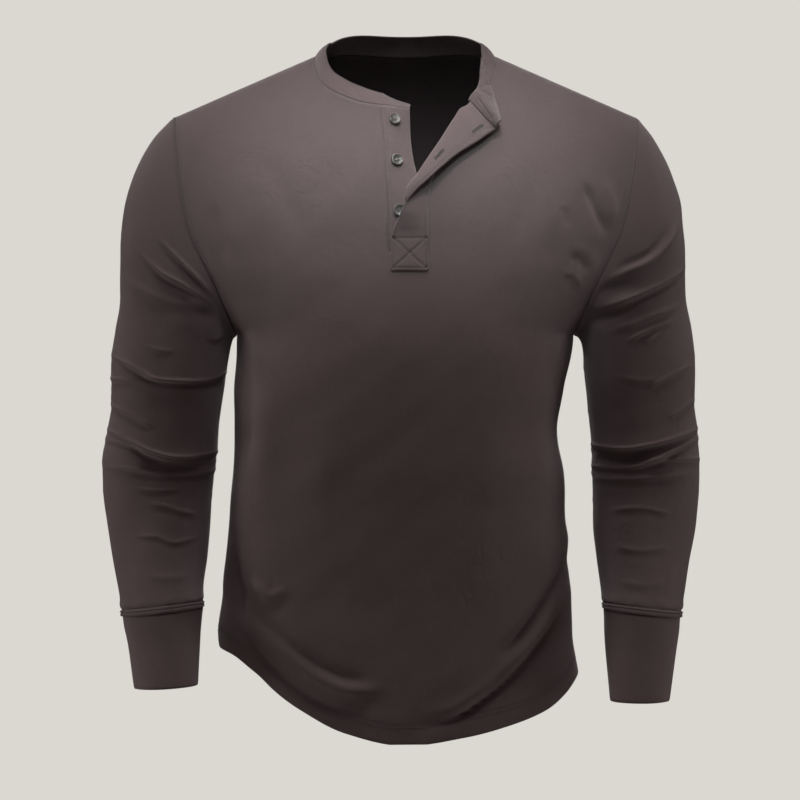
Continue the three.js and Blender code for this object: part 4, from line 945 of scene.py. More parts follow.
@dataclass
class Arm:
    """A sleeve and the cuff sewn to its end.

    front and back are the panels that the sleeve is set in. ring is how many points go round the arm, and the
    rows run down it. roll is how far the sleeve's end stands over the cuff.
    """

    side: Side
    front: Panel
    back: Panel
    ring: int = 176
    sleeve_rows: int = 416
    cuff_rows: int = 40
    ripple: float = 0.45
    roll: float = 1.5
    quiet: float = 14.0

    def __post_init__(self) -> None:
        """Cuts both pieces."""
        self.turn = np.arange(self.ring) * 2 * math.pi / self.ring
        self.seam, self.seam_out = self.armhole()
        self.low = np.maximum(0, -np.cos(self.turn))
        flip = self.side is Side.RIGHT
        self.sleeve = Grid(self.sleeve_points(), closed=True, flip=flip)
        crease(self.sleeve, SLEEVE_R_FOLDS if flip else SLEEVE_L_FOLDS, self.fade, ripple=self.ripple)
        self.puff()
        s = np.linspace(0, CUFF[self.side].last(), self.cuff_rows + 1)
        self.cuff = Grid(self.tube(CUFF[self.side], s[:, None], self.turn[None, :]), closed=True, flip=flip)
        self.cuff.points += self.cuff_wave(s)
        self.sleeve_in, self.cuff_in = self.sleeve.normals(), self.cuff.normals()
        shared = unit(self.sleeve_in[-1] + self.cuff_in[0])
        own, body = self.sleeve_in[0], self.seam_out
        share = smooth((np.sum(own * body, axis=1, keepdims=True) - 0.25) / 0.4)
        self.sleeve_in[0] = unit(lerp(own, body, share))
        self.sleeve_in[-1], self.cuff_in[0] = shared, shared

    def tube(self, rows: Table, s: Array, turn: Array) -> Array:
        """Returns points of the arm's form at rings s and turns round them."""
        power = 2 / RING_SQUARE
        c = np.sign(np.cos(turn)) * np.abs(np.cos(turn)) ** power
        d = np.sign(np.sin(turn)) * np.abs(np.sin(turn)) ** power
        ox, oz, ix, iz, mid, deep = (rows.read(name, s) for name in RINGS.split()[1:])
        x = (ox + ix) / 2 + c * (ox - ix) / 2
        z = (oz + iz) / 2 + c * (oz - iz) / 2
        return np.stack([x, mid - d * deep + 0 * x, z], axis=-1)

    def armhole(self) -> tuple[Array, Array]:
        """Returns the armhole seam's ring, from the shoulder down the front and up the back."""
        (fp, fn), (bp, bn) = self.front.armhole_edge(self.side), self.back.armhole_edge(self.side)
        fp, fn = fp.copy(), fn.copy()
        fp[[0, -1]], fn[[0, -1]] = (fp[[0, -1]] + bp[[0, -1]]) / 2, unit(fn[[0, -1]] + bn[[0, -1]])
        points, out = np.concatenate([fp[::-1], bp[1:-1]]), np.concatenate([fn[::-1], bn[1:-1]])
        at = np.arange(self.ring) * len(points) / self.ring
        k, share = at.astype(int), (at % 1)[:, None]
        after = (k + 1) % len(points)
        return lerp(points[k], points[after], share), unit(lerp(out[k], out[after], share))

    def rows(self) -> Array:
        """Returns the places of the sleeve's rings, closest together where it folds and over the cuff."""
        s = np.linspace(0, SLEEVE[self.side].last(), 1500)
        folded = smooth((s - 2.5) / 2) * (1 - smooth((s - 12) / 1.5))
        close = 1 + 1.1 * folded + 1.2 * smooth((s - 14.2) / 0.4)
        run = np.concatenate([[0], np.cumsum((close[1:] + close[:-1]) / 2)])
        return np.interp(np.linspace(0, run[-1], self.sleeve_rows + 1), run, s)

    def sleeve_points(self) -> Array:
        """Returns the sleeve's points, easing from the armhole seam to the arm's own form."""
        rows = SLEEVE[self.side]
        s = self.rows()[:, None]
        form = self.tube(rows, s, self.turn[None, :])
        miss = self.seam - self.tube(rows, np.zeros(1), self.turn)
        ease = lerp(smooth(1 - s / 3.6), smooth(1 - s / 1.2), self.low[None, :] ** 4)
        points = form + miss[None] * ease[..., None]
        off = np.roll(self.seam, -1, axis=0) - np.roll(self.seam, 1, axis=0)
        off = np.cross(unit(off), self.seam_out) * -self.side.value
        lift = smooth((-np.cos(self.turn) + 0.2) / 1.1)[:, None]
        shift = off * SEAM_GAP + self.seam_out * SEAM_GAP * 1.6 * lift
        return points + shift[None] * smooth(1 - s / 0.4)[..., None]

    def fade(self, p: Array) -> Array:
        """Returns how much of the folding reaches each point of the sleeve."""
        edge = ARMHOLE.read("x", np.clip(p[:, 2], UNDERARM_Z, SHOULDER_END_Z))
        foot = SLEEVE[self.side].rows[-1, 2]
        return smooth((np.abs(p[:, 0]) - edge + 1) / self.quiet) * smooth((p[:, 2] - foot - 6) / 24)

    def puff(self) -> None:
        """Rolls the sleeve's end over the cuff, where its seam allowance lies folded back inside."""
        points, out = self.sleeve.points, self.sleeve.normals()
        run = np.linalg.norm(np.diff(points, axis=0), axis=2)
        left = np.flip(np.cumsum(np.flip(np.pad(run, ((0, 1), (0, 0))), 0), axis=0), 0)
        turn = self.turn[None, :]
        uneven = 1 + 0.25 * np.sin(3 * turn + 0.8) + 0.12 * np.sin(17 * turn + left / 5)
        roll = self.roll * smooth((left + 0.8) / 1.8) * (1 - smooth((left - 6.2) / 1.6))
        groove = -0.7 * np.exp(-(((left - 4.2) / 0.9) ** 2)) - 0.8 * np.exp(-(((left - 8.2) / 1.3) ** 2))
        above = 0.8 * np.exp(-(((left - 13) / 6) ** 2)) * (1 + 0.6 * np.sin(11 * turn + 1.1))
        self.sleeve.points = points + out * (uneven * (roll + groove) + above)[..., None]

    def cuff_wave(self, s: Array) -> Array:
        """Returns how far the soft doubled cuff wanders from its form."""
        turn = self.turn[None, :]
        s = s[:, None]
        wave = 0.5 * np.sin(2 * turn + 2 * s) + 0.3 * np.sin(5 * turn - 3 * s + 1)
        wave = wave * smooth(s / 0.5)
        return np.stack([np.cos(turn) * wave * self.side.value, -np.sin(turn) * wave, 0 * wave], axis=-1)


# Underlap, which carries the buttons: its free edge, and how far that leans in.
UNDERLAP = Table(
    "z x back",
    [
        (-205, 21.6, 0), (-190, 21.2, 1.5), (-160, 19, 5), (-131, 13, 9), (-107, 8, 14), (-85, 5.6, 16),
        (-57, 5, 16),
    ],
)
# Overlap, which carries the buttonholes: a its seam, r where it rolls over, f its free edge, each a place on
# the front and how far it stands off it. The three lowest rows are the stitched box.
STRIP_LIFT = SEAM_GAP + DOUBLE_WALL + 0.3
OVERLAP = Table(
    "at ax az rx rz rl fx fz fl",
    [
        (0, 23, -223.7, 4.5, -223.7, STRIP_LIFT, -14, -223.7, STRIP_LIFT),
        (1, 23, -207, 4.5, -207, STRIP_LIFT, -14, -207, STRIP_LIFT),
        (2, 23, -190, 4.5, -190, STRIP_LIFT + 0.3, -14, -190, STRIP_LIFT + 0.4),
        (3, 23.3, -177, 4.2, -176.5, 6, -8.5, -175.5, 5.5),
        (4, 23.5, -164, 3.5, -163.5, 9, -2, -162.8, 8.5),
        (5, 25.5, -143, 3.2, -145.5, 9, 11, -145.7, 13),
        (6, 29, -127, 14, -129, 9, 23.5, -134.5, 13),
        (7, 36, -109, 24.5, -113, 8.5, 38, -121, 11.5),
        (8, 43, -93.5, 36, -97.4, 8, 51.6, -109.5, 10.5),
        (9, 55, -72, 52.6, -75, 8, 71.8, -96.6, 8.5),
        (10, 60.5, -61.5, 60, -67, 7, 81.5, -89.5, 8),
        (11, 66, -52.5, 76, -68, 6.5, 90.6, -82.8, 7.5),
    ],
)
# Neckband. at: 0 its end over the underlap, 1 and 5 the slit's two edges, 2 and 4 the shoulder seams, 3 the
# middle of the back, 6 its turned-out end. t: from the seam to its top edge. r: from the seam to its middle.
NECKBAND = Table(
    "at rx ry rz tx ty tz",
    [
        (0, 0.5, 10.6, 4, 1, 22, 6), (0.5, 0.7, 10, 5.4, 1.5, 21.5, 8.5), (1, 1.3, 8, 8, 3, 18.5, 13.5),
        (1.2, 1.8, 6.6, 9.4, 4, 15.5, 16.5), (1.45, 3.6, 5.8, 9.4, 8, 14, 16.5),
        (1.65, 4.7, 5.5, 9, 10.5, 13, 15.5), (1.85, 5.7, 5.6, 8.4, 12.5, 12, 14),
        (2, 7.2, 0, 8.6, 16, 0, 14.5), (2.35, 5, -3, 10, 12, -7, 18.5),
        (2.7, 2.4, -3.4, 10.8, 6, -8, 20.5), (3, 0, -3.2, 11.2, 0, -7.5, 21.5),
        (3.3, -2.4, -3.4, 10.8, -6, -8, 20.5), (3.65, -5, -3, 10, -12, -7, 18.5),
        (4, -6.4, 0, 8.4, -14, 0, 14),
        (4.31, -7, 6.4, 6.8, -14.3, 14, 10), (4.48, -9.5, 7.5, 7.5, -10.7, 11, 11.5),
        (4.61, -9.9, 3.8, 7, -7.2, 1.5, 9.7), (4.7, -7.4, 2.6, 8.4, -3.4, 1, 11.8),
        (4.79, -3.6, 2.6, 9.4, 3, 2.4, 15), (4.9, 1.8, 2.2, 9.8, 11.6, 3.2, 16.4),
        (5, 6.4, 1.6, 9.8, 19.6, 4.6, 16.4), (5.5, 6.8, -1.6, 7.4, 13.8, 5, 12.4),
        (6, 2, -5.5, 4.5, 4.6, -2.6, 8),
    ],
)
BUTTONS = [(-11.3, -70.0), (-8.7, -112.5), (-5.8, -163.5)]


def bend(a: Array, r: Array, f: Array, t: Array) -> Array:
    """Returns points of the curve from a through r to f at shares t, along a new last-but-one axis."""
    a, r, f = a[..., None, :], r[..., None, :], f[..., None, :]
    t = t[:, None]
    c = 2 * r - 0.5 * (a + f)
    return a * (1 - t) ** 2 + c * 2 * t * (1 - t) + f * t * t


@dataclass
class Placket:
    """The two strips that edge the neck slit: the underlap with its buttons and the turned-open overlap.

    form is the body's surface and front the panel whose slit they edge. across is how many steps span a
    strip, over_steps how many stand for a row of the overlap's table. Rows of stitches lie at under_row and
    at over_rows columns from the strips' edges, and box_inset columns inside the box.
    """

    form: BodyForm
    front: Panel
    under_across: int = 22
    over_across: int = 42
    over_steps: int = 14
    under_row: float = 1.5
    over_rows: Pair = (2.4, 2.8)
    box_inset: float = 2.3
    foot_row: int = 6

    def __post_init__(self) -> None:
        """Cuts both strips and sinks their rows of stitches."""
        slit, self.slit_out = self.front.slit_edge(Side.RIGHT)
        self.under, self.over = self.underlap(slit.copy()), self.overlap()
        for rows, columns in self.box():
            self.over.press(self.over.at(rows, columns)[0], 0.85, 1.1)
        for column in self.edge_columns():
            self.over.press(self.run(self.over, 2 * self.over_steps + 1, column)[0], -0.5, 1.0)
        self.under.press(self.run(self.under, self.foot_row, self.under_row)[0], 0.6, 1.1)

    def underlap(self, left: Array) -> Grid:
        """Returns the underlap, from the slit's edge to its own free edge."""
        left[:, 0] += SEAM_GAP
        left[0, 2] += SEAM_GAP
        z = left[:, 2] - 2 * np.arange(len(left)) / (len(left) - 1)
        z[0] = left[0, 2]
        lean = UNDERLAP.read("back", z)
        right = self.form.on(UNDERLAP.read("x", z), z)
        right[:, 1] += lean
        t = np.linspace(0, 1, self.under_across + 1)
        points = left[:, None] * (1 - t)[None, :, None] + right[:, None] * t[None, :, None]
        points[..., 1] -= 0.12 * lean[:, None] * np.sin(math.pi * t)[None, :]
        return Grid(points)

    def overlap(self) -> Grid:
        """Returns the overlap, bent from its seam over its roll to its free edge and a little wavy."""
        end = OVERLAP.last()
        at = np.linspace(0, end, int(end) * self.over_steps + 1)
        lines = []
        for line in "arf":
            lift = STRIP_LIFT + 0 * at if line == "a" else OVERLAP.read(line + "l", at)
            lines.append(self.form.lifted(OVERLAP.read(line + "x", at), OVERLAP.read(line + "z", at), lift))
        share = np.linspace(0, 1, self.over_across + 1)
        made = Grid(bend(*lines, share), flip=True)
        open_part = smooth((at - 3.2) / 1.2)[:, None]
        wave = np.sin(at / 0.55)[:, None] * open_part * smooth(share * 1.4)[None, :]
        ease = smooth((end - at) / 0.8)[:, None]
        made.points = made.points + made.normals() * (0.35 * wave * ease)[..., None]
        return made

    def edge_columns(self) -> Pair:
        """Returns the overlap's columns that its two long rows of stitches lie on."""
        return self.over_rows[0], self.over_across - self.over_rows[1]

    @staticmethod
    def run(grid: Grid, start: int, column: float, short: int = 0) -> tuple[Array, Array]:
        """Returns points and ways out down one column of a strip.

        Args:
            grid: the strip.
            start: its first row.
            column: the column.
            short: how many rows stay free at the end.
        """
        steps = np.arange(start, grid.points.shape[0] - short, dtype=float)
        return grid.at(steps, np.full(len(steps), column))

    def box(self) -> list[tuple[Array, Array]]:
        """Returns the box's border and cross as rows and columns of the overlap."""
        foot, head = 1.8, 2 * self.over_steps - 1.4
        left, right = self.box_inset, self.over_across - self.box_inset
        corners = [(foot, left), (foot, right), (head, right), (head, left), (foot, left)]
        ends = [*zip(corners, corners[1:]), (corners[0], corners[2]), (corners[1], corners[3])]
        t = np.linspace(0, 1, 30)
        return [(lerp(a[0], b[0], t), lerp(a[1], b[1], t)) for a, b in ends]

    def seat(self, x: float, z: float) -> tuple[Array, Array]:
        """Returns the underlap's point and way out at a place seen from the front."""
        points, normals = self.under.points.reshape(-1, 3), self.under.normals().reshape(-1, 3)
        k = int(np.argmin(np.hypot(points[:, 0] - x, points[:, 2] - z)))
        p, n = points[k], normals[k]
        y = p[1] - (n[0] * (x - p[0]) + n[2] * (z - p[2])) / n[1]
        return np.array([x, y, z]), n


# The neckband's small creases: how deep, how wide, and the place along the band and the share of its height
# where each starts and ends.
BAND_CREASES = (
    (-1.5, 1.3, (5.22, 0.34), (5.78, 0.3)), (0.9, 1.6, (5.16, 0.5), (5.74, 0.46)),
    (-0.8, 1.8, (4.92, 0.5), (5.3, 0.8)), (-0.7, 1.0, (5.1, 0.16), (5.6, 0.14)),
    (0.5, 1.2, (1.16, 0.2), (1.24, 0.7)), (0.5, 1.4, (1.3, 0.15), (1.42, 0.55)),
)


@dataclass
class Neckband:
    """The doubled band round the neck, from over the underlap to its turned-out end.

    It is cut on the edges of the pieces that it is sewn to. wave is how far it wanders from its form.
    """

    front: Panel
    back: Panel
    placket: Placket
    across: int = 24
    wave: float = 0.22

    def __post_init__(self) -> None:
        """Cuts the band and creases it."""
        base, at = self.edge()
        middle, top = (np.stack([NECKBAND.read(k + c, at) for c in "xyz"], axis=-1) for k in "rt")
        points = bend(np.zeros_like(middle), middle, top, np.linspace(0, 1, self.across + 1))
        up = unit(points[:, 4])
        points = points + base[:, None] + up[:, None] * SEAM_GAP
        self.grid = Grid(points)
        out = self.grid.normals()
        run = np.concatenate([[0], np.cumsum(np.linalg.norm(np.diff(points[:, 0], axis=0), axis=1))])
        share = np.linspace(0, 1, self.across + 1)[None, :]
        wave = np.sin(run / 6.1 + 1.2 * np.sin(run / 17))[:, None] * np.sin(math.pi * share) ** 2
        ends = smooth(np.minimum(at, NECKBAND.last() - at) / 0.3)[:, None]
        self.grid.points = points + out * (self.wave * wave * ends)[..., None]
        t = np.linspace(0, 1, 16)
        for depth, width, (a, low), (b, high) in BAND_CREASES:
            rows = np.interp(lerp(a, b, t), at, np.arange(len(at)))
            self.grid.press(self.grid.at(rows, lerp(low, high, t) * self.across)[0], depth, width)

    def edge(self) -> tuple[Array, Array]:
        """Returns the points that the band is sewn to and where each stands in the band's table."""
        under, over = self.placket.under, self.placket.over
        runs = [
            (under.points[-1, ::-1], under.normals()[-1, ::-1]),
            self.front.neck_edge(Side.RIGHT),
            tuple(v[::-1] for v in self.back.neck_edge(Side.RIGHT)),
            self.back.neck_edge(Side.LEFT),
            tuple(v[::-1] for v in self.front.neck_edge(Side.LEFT)),
            (over.points[-1], over.normals()[-1]),
        ]
        first = [1 if k else 0 for k in range(len(runs))]
        at = np.concatenate([k + np.linspace(0, 1, len(p))[first[k] :] for k, (p, _) in enumerate(runs)])
        self.base_out = np.concatenate([out[first[k] :] for k, (_, out) in enumerate(runs)])
        return np.concatenate([p[first[k] :] for k, (p, _) in enumerate(runs)]), at


class Knit(Enum):
    """The face and the reverse of a jersey: stitch width and height in metres, and how steep its vees are."""

    FACE = (0.00125, 0.00095, 0.42)
    REVERSE = (0.00125, 0.00048, 0.12)

    def __init__(self, wale: float, course: float, vee: float) -> None:
        """Keeps the three sizes by name."""
        self.wale, self.course, self.vee = wale, course, vee


class NodeMaker:
    """Makes and joins shader nodes in one tree."""

    def __init__(self, tree: NodeTree) -> None:
        """Starts on a tree."""
        self.tree = tree
        self.owner: Material | None = None
        self.shader: Node | None = None
        self.out: Node | None = None

    @classmethod
    def material(cls, name: str) -> "NodeMaker":
        """Returns the maker of a new material."""
        owner = bpy.data.materials.new(name)
        owner.use_nodes = True
        make = cls(owner.node_tree)
        make.owner = owner
        make.shader = owner.node_tree.nodes["Principled BSDF"]
        make.out = owner.node_tree.nodes["Material Output"]
        return make

    def link(self, source: NodeSocket, target: NodeSocket) -> None:
        """Joins two sockets."""
        self.tree.links.new(source, target)

    def node(self, kind: str, **settings: object) -> Node:
        """Returns a new node.

        Args:
            kind: the node's type.
            settings: its properties, input values and the sockets joined to its inputs, by name.
        """
        node = self.tree.nodes.new(kind)
        for key, value in settings.items():
            if key in node.inputs:
                if isinstance(value, NodeSocket):
                    self.link(value, node.inputs[key])
                else:
                    node.inputs[key].default_value = value
            else:
                setattr(node, key, value)
        return node

    def math(self, operation: str, *values: object) -> NodeSocket:
        """Returns the result of a sum on numbers and sockets."""
        node = self.tree.nodes.new("ShaderNodeMath")
        node.operation = operation
        for socket, value in zip(node.inputs, values):
            if isinstance(value, NodeSocket):
                self.link(value, socket)
            else:
                socket.default_value = value
        return node.outputs[0]

    def use(self, tree: NodeTree, **values: float | Sequence[float]) -> Node:
        """Returns a node that uses a group, with its inputs set."""
        node = self.tree.nodes.new("ShaderNodeGroup")
        node.node_tree = tree
        for key, value in values.items():
            node.inputs[key].default_value = value if isinstance(value, float) else (*value, 1.0)
        return node

    def noise(self, scale: float, detail: float, distortion: float = 0.0) -> NodeSocket:
        """Returns a noise over the object's own space."""
        settings = {"Scale": scale, "Detail": detail, "Distortion": distortion}
        place = self.node("ShaderNodeTexCoord").outputs["Object"]
        return self.node("ShaderNodeTexNoise", Vector=place, **settings).outputs[0]

    def bump(
        self, height: NodeSocket, strength: float, depth: float, under: NodeSocket | None = None
    ) -> NodeSocket:
        """Returns the normal that a height gives.

        Args:
            height: the height's socket.
            strength: how strongly it shows.
            depth: how high it is, in metres.
            under: the normal that it lies on.
        """
        made = self.node("ShaderNodeBump", Strength=strength, Distance=depth, Height=height)
        if under is not None:
            self.link(under, made.inputs["Normal"])
        return made.outputs["Normal"]

    def dress(self, colour: NodeSocket, normal: NodeSocket) -> None:
        """Joins a colour and a normal to the material's shader."""
        self.link(colour, self.shader.inputs["Base Color"])
        self.link(normal, self.shader.inputs["Normal"])

    def give(self, **results: NodeSocket) -> None:
        """Joins a group's results to its outputs."""
        out = self.tree.nodes.new("NodeGroupOutput")
        for key, socket in results.items():
            self.link(socket, out.inputs[key])


@dataclass(frozen=True)
class Groups:
    """The shader groups that the finishes share."""

    knit: NodeTree
    tone: NodeTree
    wear: NodeTree

    @classmethod
    def built(cls) -> "Groups":
        """Returns the three groups."""
        return cls(cls.knit_group(), cls.tone_group(), cls.wear_group())

    @staticmethod
    def start(name: str, inputs: dict[str, float | tuple[float, ...]], outputs: dict[str, str]) -> NodeMaker:
        """Returns the maker of a new shader group.

        Args:
            name: the group's name.
            inputs: each input's name and usual value, a number or a colour.
            outputs: each output's name and socket type.
        """
        tree = bpy.data.node_groups.new(name, "ShaderNodeTree")
        for key, value in inputs.items():
            kind = "NodeSocketFloat" if isinstance(value, float) else "NodeSocketColor"
            socket = tree.interface.new_socket(key, in_out="INPUT", socket_type=kind)
            socket.default_value = value if isinstance(value, float) else (*value, 1.0)
        for key, kind in outputs.items():
            tree.interface.new_socket(key, in_out="OUTPUT", socket_type=kind)
        return NodeMaker(tree)

    @staticmethod
    def knit_group() -> NodeTree:
        """Returns the group that draws a jersey's stitches, in metres over the flat cloth."""
        usual = {"Wale": 0.00125, "Course": 0.00095, "Vee": 0.42}
        given_out = {"Height": "NodeSocketFloat", "Hollow": "NodeSocketFloat"}
        make = Groups.start("Knit stitches", usual, given_out)
        given = make.node("NodeGroupInput")
        place = make.node("ShaderNodeUVMap", uv_map="cloth")
        axes = make.node("ShaderNodeSeparateXYZ", Vector=place.outputs["UV"])
        fray = make.node("ShaderNodeTexNoise", Vector=place.outputs["UV"], Scale=420.0, Detail=1.0)
        shift = make.math("MULTIPLY", make.math("SUBTRACT", fray.outputs[0], 0.5), 0.5)
        across = make.math("ADD", make.math("DIVIDE", axes.outputs["X"], given.outputs["Wale"]), shift)
        within = make.math("FRACT", across)
        centred = make.math("MULTIPLY", make.math("ABSOLUTE", make.math("SUBTRACT", within, 0.5)), 2.0)
        rise = make.math("MULTIPLY", centred, given.outputs["Vee"])
        along = make.math("DIVIDE", axes.outputs["Y"], given.outputs["Course"])
        turn = make.math("MULTIPLY", make.math("SUBTRACT", along, rise), 2 * math.pi)
        loop = make.math("MULTIPLY_ADD", make.math("COSINE", turn), 0.5, 0.5)
        off = make.math("ABSOLUTE", make.math("SUBTRACT", centred, 0.45))
        limb = make.math("SUBTRACT", 1.0, make.math("POWER", off, 1.5))
        height = make.math("MULTIPLY", loop, limb)
        make.give(Height=height, Hollow=make.math("SUBTRACT", 1.0, height))
        return make.tree

    @staticmethod
    def tone_group() -> NodeTree:
        """Returns the group that mottles a cloth's colour by dye and fibre, and darkens it between its
        stitches as painted shade.
        """
        usual = {"Light": (0.1, 0.1, 0.1), "Dark": (0.05, 0.05, 0.05), "Hollow": 0.5}
        make = Groups.start("Cloth tone", usual, {"Color": "NodeSocketColor", "Roughness": "NodeSocketFloat"})
        given = make.node("NodeGroupInput")
        dye, fibre, slub = make.noise(9.0, 3.0), make.noise(650.0, 2.0), make.noise(95.0, 4.0)
        share = make.math("MULTIPLY_ADD", fibre, 0.75, make.math("MULTIPLY", slub, 0.5))
        share = make.math("ADD", share, make.math("MULTIPLY", dye, 0.35))
        # the knit's hollows pull the colour towards Dark: painted shade between the stitches
        share = make.math("MULTIPLY_ADD", given.outputs["Hollow"], 0.35, make.math("SUBTRACT", share, 0.55))
        mix = make.node("ShaderNodeMix", data_type="RGBA")
        for slot, socket in ((0, share), (6, given.outputs["Light"]), (7, given.outputs["Dark"])):
            make.link(socket, mix.inputs[slot])
        make.give(Color=mix.outputs[2], Roughness=make.math("MULTIPLY_ADD", fibre, 0.16, 0.78))
        return make.tree

    @staticmethod
    def wear_group() -> NodeTree:
        """Returns the group that draws the small soft creases left by wearing and washing."""
        make = Groups.start("Wear creases", {"Amount": 1.0}, {"Height": "NodeSocketFloat"})
        given = make.node("NodeGroupInput")
        wander, fine = make.noise(16.0, 2.0), make.noise(62.0, 3.0, 0.8)
        ridge = make.math("ABSOLUTE", make.math("SUBTRACT", fine, 0.5))
        ridge = make.math("SUBTRACT", 0.25, make.math("MINIMUM", ridge, 0.25))
        here = make.math("MULTIPLY", make.math("MAXIMUM", make.math("SUBTRACT", wander, 0.42), 0.0), 4.0)
        lines = make.math("MULTIPLY", make.math("MULTIPLY", ridge, here), given.outputs["Amount"])
        make.give(Height=make.math("MULTIPLY_ADD", wander, 0.6, lines))
        return make.tree


@dataclass(frozen=True)
class Jersey:
    """A knitted finish: the face of the knit that shows, its lighter and darker colour, and its sheen."""

    name: str
    knit: Knit
    light: Triple
    dark: Triple
    sheen: float
    sheen_roughness: float = 0.45
    sheen_tint: Triple = (0.75, 0.66, 0.66)
    specular: float = 0.25
    stitch_depth: float = 0.0003
    wear_depth: float = 0.002

    def material(self, groups: Groups) -> Material:
        """Returns the finish's material."""
        make = NodeMaker.material(self.name)
        stitches = make.use(groups.knit, Wale=self.knit.wale, Course=self.knit.course, Vee=self.knit.vee)
        tone = make.use(groups.tone, Light=self.light, Dark=self.dark)
        make.link(stitches.outputs["Hollow"], tone.inputs["Hollow"])
        worn = make.use(groups.wear, Amount=1.0)
        soft = make.bump(worn.outputs["Height"], 0.7, self.wear_depth)
        bump = make.bump(stitches.outputs["Height"], 0.7, self.stitch_depth, soft)
        make.link(tone.outputs["Roughness"], make.shader.inputs["Roughness"])
        make.dress(tone.outputs["Color"], bump)
        make.shader.inputs["Sheen Weight"].default_value = self.sheen
        make.shader.inputs["Sheen Roughness"].default_value = self.sheen_roughness
        make.shader.inputs["Sheen Tint"].default_value = (*self.sheen_tint, 1)
        make.shader.inputs["Specular IOR Level"].default_value = self.specular
        return make.owner


@dataclass(frozen=True)
class SewingThread:
    """The twisted thread of every row of stitches, darker than the cloth: painted shade of the grooves the
    stitches lie in.
    """

    # colours darker than the jersey's: painted shade of the stitch grooves
    light: Triple = (0.045, 0.029, 0.03)
    dark: Triple = (0.028, 0.018, 0.019)
    twist: float = 900.0

    def material(self, groups: Groups) -> Material:
        """Returns the thread's material."""
        make = NodeMaker.material("sewing_thread")
        tone = make.use(groups.tone, Light=self.light, Dark=self.dark, Hollow=0.4)
        place = make.node("ShaderNodeTexCoord").outputs["Object"]
        twist = make.node("ShaderNodeTexWave", Vector=place, Scale=self.twist, Distortion=1.5)
        make.dress(tone.outputs["Color"], make.bump(twist.outputs["Fac"], 0.4, 0.0001))
        make.shader.inputs["Roughness"].default_value = 0.6
        make.shader.inputs["Sheen Weight"].default_value = 0.3
        return make.owner


@dataclass(frozen=True)
class HornResin:
    """The buttons' finish: dark horn-like resin with pale streaks, each stop a place and a colour."""

    stops: tuple[tuple[float, Triple], ...] = (
        (0.32, (0.03, 0.024, 0.022)),
        (0.52, (0.07, 0.056, 0.052)),
        (0.7, (0.16, 0.135, 0.125)),
    )
    coat: float = 0.25

    def material(self) -> Material:
        """Returns the resin's material."""
        make = NodeMaker.material("horn_resin")
        ramp = make.node("ShaderNodeValToRGB", Fac=make.noise(160.0, 5.0, 1.6))
        found = ramp.color_ramp.elements
        found.new(self.stops[1][0])
        for stop, (at, colour) in zip(found, self.stops):
            stop.position, stop.color = at, (*colour, 1)
        scratch = make.noise(1400.0, 2.0)
        make.link(make.math("MULTIPLY_ADD", scratch, 0.22, 0.26), make.shader.inputs["Roughness"])
        make.dress(ramp.outputs["Color"], make.bump(scratch, 0.12, 0.0001))
        make.shader.inputs["Coat Weight"].default_value = self.coat
        return make.owner


@dataclass(frozen=True)
class StudioPaper:
    """The studio's pale floor and wall, which look evenly lit and throw little light back."""

    shown: Triple = (0.708, 0.687, 0.638)
    real: Triple = (0.4, 0.39, 0.37)

    def material(self) -> Material:
        """Returns the paper's material."""
        make = NodeMaker.material("studio_paper")
        glow = make.node("ShaderNodeEmission", Color=(*self.shown, 1), Strength=1.0)
        path = make.node("ShaderNodeLightPath")
        mix = make.node("ShaderNodeMixShader", Fac=path.outputs["Is Camera Ray"])
        make.link(make.shader.outputs[0], mix.inputs[1])
        make.link(glow.outputs[0], mix.inputs[2])
        make.link(mix.outputs[0], make.out.inputs["Surface"])
        grain = make.node("ShaderNodeTexNoise", Scale=40.0)
        rough = make.math("MULTIPLY_ADD", grain.outputs[0], 0.1, 0.85)
        make.link(rough, make.shader.inputs["Roughness"])
        make.shader.inputs["Base Color"].default_value = (*self.real, 1)
        return make.owner


class Finishes:
    """The shirt's materials, each made once."""

    def __init__(self) -> None:
        """Makes the groups, then every material."""
        groups = Groups.built()
        face = Jersey("jersey", Knit.FACE, (0.112, 0.0765, 0.0775), (0.088, 0.0585, 0.0595), 0.3)
        # the reverse's colours are darker than the face's: painted shade of the shirt's inside, not the
        # cloth's own colour
        reverse = Jersey("jersey_reverse", Knit.REVERSE, (0.062, 0.036, 0.038), (0.048, 0.027, 0.029), 0.15)
        self.jersey, self.reverse = face.material(groups), reverse.material(groups)
        self.thread = SewingThread().material(groups)
        self.horn = HornResin().material()


Materials = Sequence[Material]
Faces = Sequence[Sequence[int]]


def make_mesh(name: str, points: Array, faces: Faces, materials: Materials) -> Object:
    """Returns a smooth-shaded object in the scene, with points given in millimetres."""
    mesh = bpy.data.meshes.new(name)
    mesh.from_pydata((points * MM).tolist(), [], faces if isinstance(faces, list) else faces.tolist())
    for material in materials:
        mesh.materials.append(material)
    mesh.polygons.foreach_set("use_smooth", np.ones(len(mesh.polygons), bool))
    mesh.update()
    made = bpy.data.objects.new(name, mesh)
    bpy.context.scene.collection.objects.link(made)
    return made


